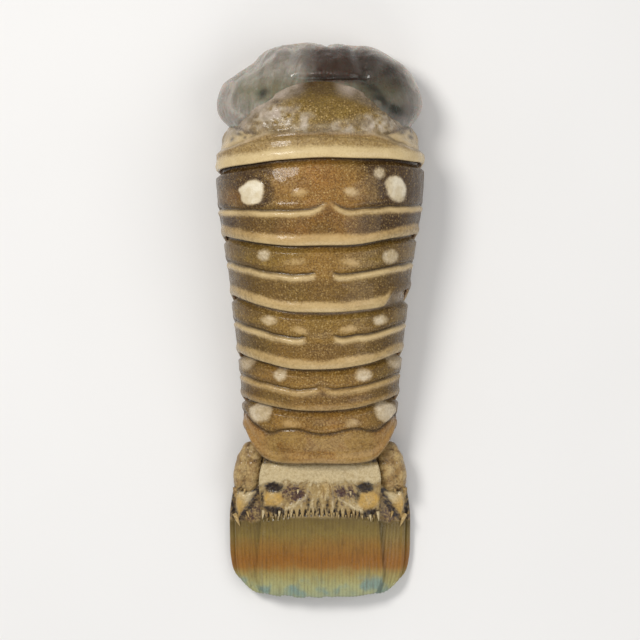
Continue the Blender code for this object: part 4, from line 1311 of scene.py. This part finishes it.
def makeSideBlade(blade, material):
    # leaf: a straight spine line from root to tip with a half width on each side
    (rootX, rootS), (tipX, tipS) = blade["root"], blade["tip"]
    rootDepth, tipDepth = blade["depth"]
    along, out = leafGrid(*fan["bladeGrid"], *fan["crowding"])
    half = smoothCurve(blade["halfWidth"], along)
    x = rootX + (tipX - rootX) * along + out * half
    bow, power = fan["bladeBow"]
    s = rootS + (tipS - rootS) * along - bow * np.abs(out) ** power * along**4
    s = s - (0.25 * ribWave(x) + 0.3 * patchNoise(x, 0, 1.9, 311)) * ramp(along, 0.9, 1.0)
    base = fanHeight(x, s) - rootDepth - (tipDepth - rootDepth) * ramp(along, 0, 0.8)
    base = base + 0.18 * patchNoise(x, 0.4 * s, 5.0, 310) * ramp(along, 0.3, 0.6)
    fanned = out * bladeMarks["fanOut"]
    worn, ribs, inside = wear(x, s, 1.5, 313), ribWave(fanned), insidePlate(x, s)
    edge = s + 0.5 * patchNoise(fanned, 0, 1.2, 312) - bladeMarks["hardEnd"]
    hard = fade(edge, 0, 0.9)
    plate = ramp(inside + 0.3 * patchNoise(x, s, 1.4, 315), -0.3, 0.6) * hard
    yellow = ramp(0.6 * (x - 18.6) + 0.5 * (s - 129.6), 1.8, 5.0)
    lower = hump(inside + 0.9, 0.8) * ramp(s - 129.6, 1.0, 3.0) * hard
    outline = hump(inside + 0.35, 0.4) * hard
    margin = hump((1 - np.abs(out)) * half - 0.6, 0.55)
    lift = (
        fan["ribHeight"] * (ribs * (1 - hard) - 0.5) + 0.3 * hard + 0.25 * margin - 0.3 * lower
        + 0.5 * plate * np.clip(inside, 0, 1.5) + 0.15 * hard * patchNoise(x, s, 2.0, 314)
    )
    start = bladeMarks["bandStart"]
    # the last term is painted shade across the root, beside the stalk
    dark = np.maximum(0.9 * lower, 0.75 * outline) + 0.5 * hard * hump(s - 129.0, 0.8) * (1 - plate)
    fields = {
        "hard": hard,
        "reach": np.clip((s - start) / (body["length"] - start), 0, 1),
        "furrow": (1 - ribs) * (1 - hard),
        "cream": np.clip(0.9 * plate * (1 - 0.6 * yellow) + 0.4 * margin * hard, 0, 1),
        "yolk": 0.7 * plate * yellow,
        "bruise": np.clip(hard * (1 - plate) * (0.18 + 0.42 * worn), 0, 0.9),
        "dark": np.clip(dark, 0, 0.95),
    }
    rim = np.minimum((1 - np.abs(out)) * half, np.minimum(along, 1 - along) * (tipS - rootS))
    parts = [fanSheet(x, s, base, lift, fan["thickness"], rim, fields)]
    for bx, bs, tx, ts, radius in blade["spines"]:
        floor = fanHeight(bx, bs) - rootDepth
        spine = {"hard": 1.0, "yolk": 0.35, "cream": 0.5}
        parts += spikeParts([(bx, -bs, floor + 0.3)], [(tx, -ts, floor + 0.9)], [radius], spine)
    makePair(f"{blade['name']}_skin", parts, material, "fan", blade["name"])


fanMaterial = makeFanMaterial()
makeTelson(fanMaterial)
for blade in sideBlades:
    makeSideBlade(blade, fanMaterial)
print("fan done")


# Stalks of the side blades

stalk = {
    "centre": (20.8, 122.3, 6.6),
    "halfSize": (4.9, 7.4, 4.1),
    "squareness": 0.72,
    "lean": 0.12,
    "grid": (80, 110),
    # heights, places and widths of what runs along the stalk, and of what runs across it
    "ridges": ((0.45, 2.2, 0.8), (-0.45, 0.6, 0.6), (0.3, -1.6, 1.0)),
    "folds": ((0.3, 3.0, 0.7), (-0.35, 1.6, 0.5), (0.25, -5.4, 0.8)),
    "lumps": ((0.25, 2.4, 321), (0.1, 0.9, 322)),  # height, cell, seed
    "wedge": (0.94, 0.22, 0.4),  # width at the rear, what it loses in front, and its shift inwards
    "hollow": (1.2, -6.6, 1.5, 0.8),  # dark spot: across, along, and its reach both ways
    "spines": ((3.0, 6.0, 8.4, 0.75), (0.2, 6.4, 8.0, 0.42)),  # across, from and to along, radius
    "spineEnds": ((0.6, 1.4), (0.9, 0.9)),  # outwards and up, for the base and for the tip
    "cream": paint(182, 155, 104),
    "tan": paint(144, 114, 68),
    # dark is mostly painted shade, in grooves, underneath, on the inner side and in the joint skin's folds
    "dark": paint(68, 46, 24),
    "dotSpacing": 0.95,
    "slick": 0.24,
    "damp": 0.46,
    "relief": 0.1,
}


def makeStalkMaterial():
    # cream and tan patches, then grains and dots, and dark hollows: painted shade in grooves, underneath and
    # on the inner side
    material, tree, shader, where = newMaterial("mottled_stalk", **wetHorn)
    grain, wet = addGrain(tree, where, stalk), addWet(tree, where, stalk)
    patch = between(tree, cloud(tree, where, 2.6, 3.0, 0.6), 0.38, 0.62)
    tone = layered(
        tree, stalk, blend(tree, patch, stalk["cream"], stalk["tan"]), (grain["Grains"], 0.35, "dark"),
        (grain["Dots"], 0.5, "cream"), (frayed(tree, "dark", grain, 0.6), 1, "dark"),
    )
    finishShader(tree, shader, tone, wet, grain["Height"], stalk["relief"])
    return material


def makeStalk(material):
    # ball with its three directions each raised to a power, so that it becomes a rounded block, drawn
    # in towards its front like a wedge
    rows, columns = stalk["grid"]
    polar = (np.arange(1, rows + 1) * np.pi / (rows + 1))[:, None]
    cosine, sine = circle(columns)
    ball = np.stack((np.sin(polar) * cosine, np.sin(polar) * sine, np.cos(polar) + 0 * cosine), -1)
    block = signedPower(ball, stalk["squareness"]) * np.array(stalk["halfSize"])
    across, along, up = block[..., 0], block[..., 1], block[..., 2]
    ahead = along / stalk["halfSize"][1]
    full, loss, shift = stalk["wedge"]
    across = across * (full - loss * ramp(ahead, -0.2, 1.0)) - shift
    (cx, cs, cz), lean = stalk["centre"], stalk["lean"]
    points = np.stack((cx + across - lean * along, along - cs, cz + up + lean * along), -1)
    top = ramp(up, 0, 2)
    ridges, folds = humps(across, *stalk["ridges"]), humps(along, *stalk["folds"])
    push = (ridges * ramp(-ahead, -0.8, -0.2) + folds) * top + lumpy(across + up, along, *stalk["lumps"])
    points = pushOut(points, push * 0.8 - 0.15)
    worn = wear(across + 0.5 * up, along, 1.7, 323)
    spotX, spotY, wide, long = stalk["hollow"]
    spot = hump(np.hypot((across - spotX) / wide, (along - spotY) / long), 1.0)
    # painted shade in the grooves along and across the top, and a dark spot
    dark = (0.55 * hump(across - 0.6, 0.6) + 0.6 * hump(along - 1.6, 0.5)) * worn + 0.9 * spot
    # painted shade on the inner side and the underside
    dark = dark * top + 0.5 * ramp(-across, 2.2, 4.4) + 0.45 * ramp(-up, -1.0, 2.5)
    highest, lowest = points[0].mean(0) + (0, 0, 0.02), points[-1].mean(0) - (0, 0, 0.02)
    parts = [closedPart(points, highest, lowest, {"dark": np.clip(0.8 * dark, 0, 0.9)})]
    for a, *reach, radius in stalk["spines"]:
        base, tip = ((cx + a + out, -cs - y, cz + rise) for y, (out, rise) in zip(reach, stalk["spineEnds"]))
        parts += spikeParts([base], [tip], [radius], {"dark": 0.0})
    makePair("stalk_shell", parts, material, "stalk", "fan_stalk")


stalkMaterial = makeStalkMaterial()
makeStalk(stalkMaterial)
print("stalks done")


# Soft skin between the last ring and the fan

jointSkin = {
    "halfWidth": ((104, 18.0), (110, 19.3), (115, 19.3), (119, 17.8), (124, 15.0)),
    "top": ((104, 17.0), (110, 18.8), (114, 16.8), (118, 12.6), (124, 11.2)),
    "floor": ((104, 6.4), (110, 4.7), (118, 4.5), (124, 5.8)),
    "middle": 8.0,
    "squareness": 0.78,
    "endPower": 6.0,
    "foldSpacing": 1.9,
    "foldDepth": 0.5,
    "grid": (130, 200),
}


def makeJointSkin(material):
    # tube of superellipses, closed by rounding at both ends, with cosine folds that run round it
    rows, columns = jointSkin["grid"]
    first, last = jointSkin["top"][0][0], jointSkin["top"][-1][0]
    along = crowded(rows + 2, 0.7)[1:-1, None]
    s = first + (last - first) * along
    cosine, sine = circle(columns, -1)
    share = (1 - np.abs(2 * along - 1) ** jointSkin["endPower"]) ** 0.5
    power, middle = jointSkin["squareness"], jointSkin["middle"]
    width, top, floor = (smoothCurve(jointSkin[name], s) for name in ("halfWidth", "top", "floor"))
    x = width * share * signedPower(cosine, power)
    z = middle + np.where(sine >= 0, top - middle, middle - floor) * share * signedPower(sine, power)
    s = np.broadcast_to(s, x.shape)
    wander = s + 0.9 * patchNoise(x + z, 0.5 * s, 3.5, 351) + 0.35 * patchNoise(x + z, s, 1.4, 352)
    fold = 0.5 + 0.5 * np.cos(2 * np.pi * wander / jointSkin["foldSpacing"])
    push = jointSkin["foldDepth"] * (fold - 0.7) + 0.12 * patchNoise(x + z, s, 1.1, 353)
    points = pushOut(np.stack((x, -s, z), -1), push)
    # painted shade: darker all over, and most in the valleys of the folds
    fields = {"dark": np.clip(0.15 + 0.45 * (1 - fold) + 0.2 * patchNoise(x + z, s, 2.2, 354), 0, 0.8)}
    ends = [(0.0, points[row, :, 1].mean(), middle) for row in (0, -1)]
    makePiece("joint_skin", [closedPart(points, *ends, fields)], material, "stalk")


makeJointSkin(stalkMaterial)
print("joint skin done")


# Belly: cross bars and swimmerets

belly = {
    "barRadius": 0.9,
    "barGap": 0.55,
    "barSpread": 0.78,
    "barSweep": 1.6,
    "barAhead": 2.0,
    "barGrid": (90, 20),
    "barArch": 0.4,  # how far its ends hang below its middle, besides the belly's own rise
    "barWaver": 0.05,
    "barFlatness": 1.15,  # length along the tail over height
    "leafLengths": {2: 16.5, 3: 14.8, 4: 11.4, 5: 11.0},
    "leafHalfWidth": 4.6,
    "leafWall": 0.6,
    "leafSlant": math.radians(24),
    "leafRoot": 0.62,
    "leafTop": 2.0,
    "leafRoundness": 0.27,
    "leafGrid": (56, 41),
    "horn": paint(214, 184, 138),
    "hornShade": paint(176, 132, 84),
    "leaf": paint(206, 164, 112),
    "leafDark": paint(122, 78, 42),
    "leafRim": paint(224, 196, 150),
    "slick": 0.2,
    "damp": 0.42,
    "relief": 0.12,
}


def barStation(number):
    # the ring's rear station, less part of its bow and a fixed distance
    ring = rings[number - 1]
    return ring["rear"] - 0.4 * ring["bow"] - belly["barAhead"]


def makeBellyMaterial(name, pale, dark, cell):
    # pale horn with darker patches of about that size, a light rim and dark hollows
    fixed = {"Coat Weight": 0.3, "Coat Roughness": 0.14, "IOR": 1.46, "Subsurface Weight": 0.15,
             "Subsurface Scale": 0.002}
    material, tree, shader, where = newMaterial(name, **fixed)
    patch = between(tree, cloud(tree, where, cell, 3.0, 0.6), 0.42, 0.68)
    layers = (patch, 0.7, dark), ("rim", 1, "leafRim"), ("dark", 1, "leafDark")
    tone = layered(tree, belly, belly[pale], *layers)
    wet, fine = addWet(tree, where, belly), cloud(tree, where, 0.6, 3.0, 0.6)
    finishShader(tree, shader, tone, wet, fine, belly["relief"])
    return material


def makeBar(number, material):
    # circle carried along a bowed path across the belly, closed by rounding at both ends
    rows, columns = belly["barGrid"]
    station = barStation(number)
    width = smoothCurve(body["halfWidth"], station)
    reach = belly["barSpread"] * width
    out = np.sin(np.linspace(-np.pi / 2, np.pi / 2, rows + 2)[1:-1])[:, None]
    rise = meat["bellyRise"] * np.maximum(1 - (out * reach / width) ** 2, 0)
    gap, thick, arch = belly["barGap"], belly["barRadius"], belly["barArch"]
    z = smoothCurve(meat["belly"], station) + rise - thick - gap - arch * out**2
    waver = 1 + belly["barWaver"] * patchNoise(out * reach, 0, 3.0, 331)
    radius = thick * (1 - out**12) ** 0.5 * waver
    cosine, sine = circle(columns)
    x = out * reach + 0 * cosine
    y = -(station - belly["barSweep"] * out**2) + radius * sine * belly["barFlatness"]
    ends = [(tip * reach, belly["barSweep"] - station, z[-1, 0]) for tip in (-1, 1)]
    fields = {"rim": 0.3, "dark": 0.5 * hump(1 - np.abs(out), 0.12)}
    part = closedPart(np.stack((x, y, z + radius * cosine), -1), *ends, fields)
    makePiece(f"belly_bar_{number}", [part], material, "belly", f"cross_bar_{number}")


def makeLeaf(number, material):
    # thin leaf: half width follows a sine times an oval, ribs fan out from its root, rounded rim
    start = barStation(number) + belly["barRadius"] + 0.5
    rootX = belly["leafRoot"] * smoothCurve(body["halfWidth"], start)
    along, out = leafGrid(*belly["leafGrid"], 0.6, 0.5)
    forward = along * belly["leafLengths"][number]
    oval = (1 - np.abs(2 * along - 1) ** 4.0) ** 0.4
    sideways = out * belly["leafHalfWidth"] * oval * np.sin(np.pi * (0.12 + 0.8 * along) ** 0.85) ** 0.4
    sine, cosine = math.sin(belly["leafSlant"]), math.cos(belly["leafSlant"])
    x = rootX - forward * sine + sideways * cosine
    s = start + forward * cosine + sideways * sine
    ribs = 0.08 * ribWave(out * (3 + 3 * along)) - 0.06
    top = belly["leafTop"] - along + 0.35 * out**2 + 0.05 * patchNoise(x, s, 3.0, 341 + number)
    rim = np.minimum((1 - np.abs(out)) * belly["leafHalfWidth"], np.minimum(along, 1 - along) * 12)
    ribs = ribs - roundOff(rim, belly["leafRoundness"])
    upper, lower = (np.stack((x, -s, z), -1) for z in (top + ribs, top - belly["leafWall"] - ribs))
    fields = {"rim": 0.8 * fade(rim, 0.3, 1.0), "dark": 0.5 * hump(rim - 1.7, 0.7)}
    part = sheetPart(upper, lower, fields, ("rim", "dark"))
    makePair(f"leaf_{number}", [part], material, "swimmeret", f"swimmeret_{number}")


barMaterial = makeBellyMaterial("horn_bar", "horn", "hornShade", 4.0)
leafMaterial = makeBellyMaterial("swimmer_leaf", "leaf", "leafDark", 3.0)
for number in range(1, len(rings)):
    makeBar(number, barMaterial)
for number in belly["leafLengths"]:
    makeLeaf(number, leafMaterial)
print("belly done")


# Floor, light and camera

studio = {
    "floorSize": 3000.0,
    "floorPoints": 9,  # along each side
    "floorDrop": 0.02,
    "floorPatch": 60.0,
    "floorRoughness": 0.7,
    "floorColours": (paint(232, 231, 229), paint(228, 227, 225)),
    "worldColour": (0.93, 0.95, 1.0, 1.0),
    "worldStrength": 0.38,
    "lampColour": (1.0, 0.98, 0.95),
    "lamps": (
        {"name": "key", "at": (-330, 260, 640), "size": 260, "power": 3.5},
        {"name": "fill", "at": (420, -60, 560), "size": 500, "power": 1.3},
        {"name": "rear", "at": (60, -520, 420), "size": 400, "power": 0.8},
    ),
    "lampTarget": (0, 0, 15),
    "frameHeight": 182.0,  # millimetres seen from the top of the picture to its bottom
    "frameLevel": 0.6,  # height at which that holds, as a share of the tail's
    "lens": 200.0,
    "sensor": 36.0,
}


def makeFloor():
    # square grid of points just under the tail
    count = studio["floorPoints"]
    edge = np.linspace(-studio["floorSize"] / 2, studio["floorSize"] / 2, count) * mm
    x, y = np.meshgrid(edge, edge)
    points = np.stack((x, y, 0 * x - studio["floorDrop"] * mm), -1).reshape(-1, 3)
    mesh = bpy.data.meshes.new("floor")
    mesh.from_pydata(points.tolist(), [], gridQuads(count, count, flip=True).tolist())
    material, tree, shader, where = newMaterial("pale_floor", Roughness=studio["floorRoughness"])
    tone = blend(tree, cloud(tree, where, studio["floorPatch"]), *studio["floorColours"])
    tree.links.new(tone, shader.inputs["Base Color"])
    mesh.materials.append(material)
    addObject("floor", mesh)


def aim(obj, place, target):
    # turns the object so that its -Z axis points from its place to the target
    obj.location = np.array(place) * mm
    x, y, z = np.array(target, float) - np.array(place, float)
    flat = math.hypot(x, y)
    obj.rotation_euler = (math.atan2(flat, -z), 0, math.atan2(-x, y) if flat else 0)


def makeLights():
    # even pale sky and three round lamps, all aimed at the middle of the tail
    world = bpy.data.worlds.new("studio")
    bpy.context.scene.world = world
    world.use_nodes = True
    sky = world.node_tree.nodes["Background"]
    sky.inputs["Color"].default_value = studio["worldColour"]
    sky.inputs["Strength"].default_value = studio["worldStrength"]
    for lamp in studio["lamps"]:
        light = bpy.data.lights.new(lamp["name"], "AREA")
        light.shape = "DISK"
        light.size = lamp["size"] * mm
        light.energy = lamp["power"]
        light.color = studio["lampColour"]
        aim(addObject(lamp["name"], light), lamp["at"], studio["lampTarget"])


def makeCamera():
    # straight down, with the tail's middle height in the frame
    camera = bpy.data.cameras.new("camera")
    camera.lens, camera.sensor_width = studio["lens"], studio["sensor"]
    camera.clip_end = 10
    obj = addObject("camera", camera)
    middle = cadHigh.z / mm * studio["frameLevel"]
    distance = studio["frameHeight"] * studio["lens"] / studio["sensor"]
    obj.location = (0, 0, (middle + distance) * mm)
    bpy.context.scene.camera = obj
    bpy.context.scene.view_settings.view_transform = "Standard"


makeFloor()
makeLights()
makeCamera()
print("studio done")
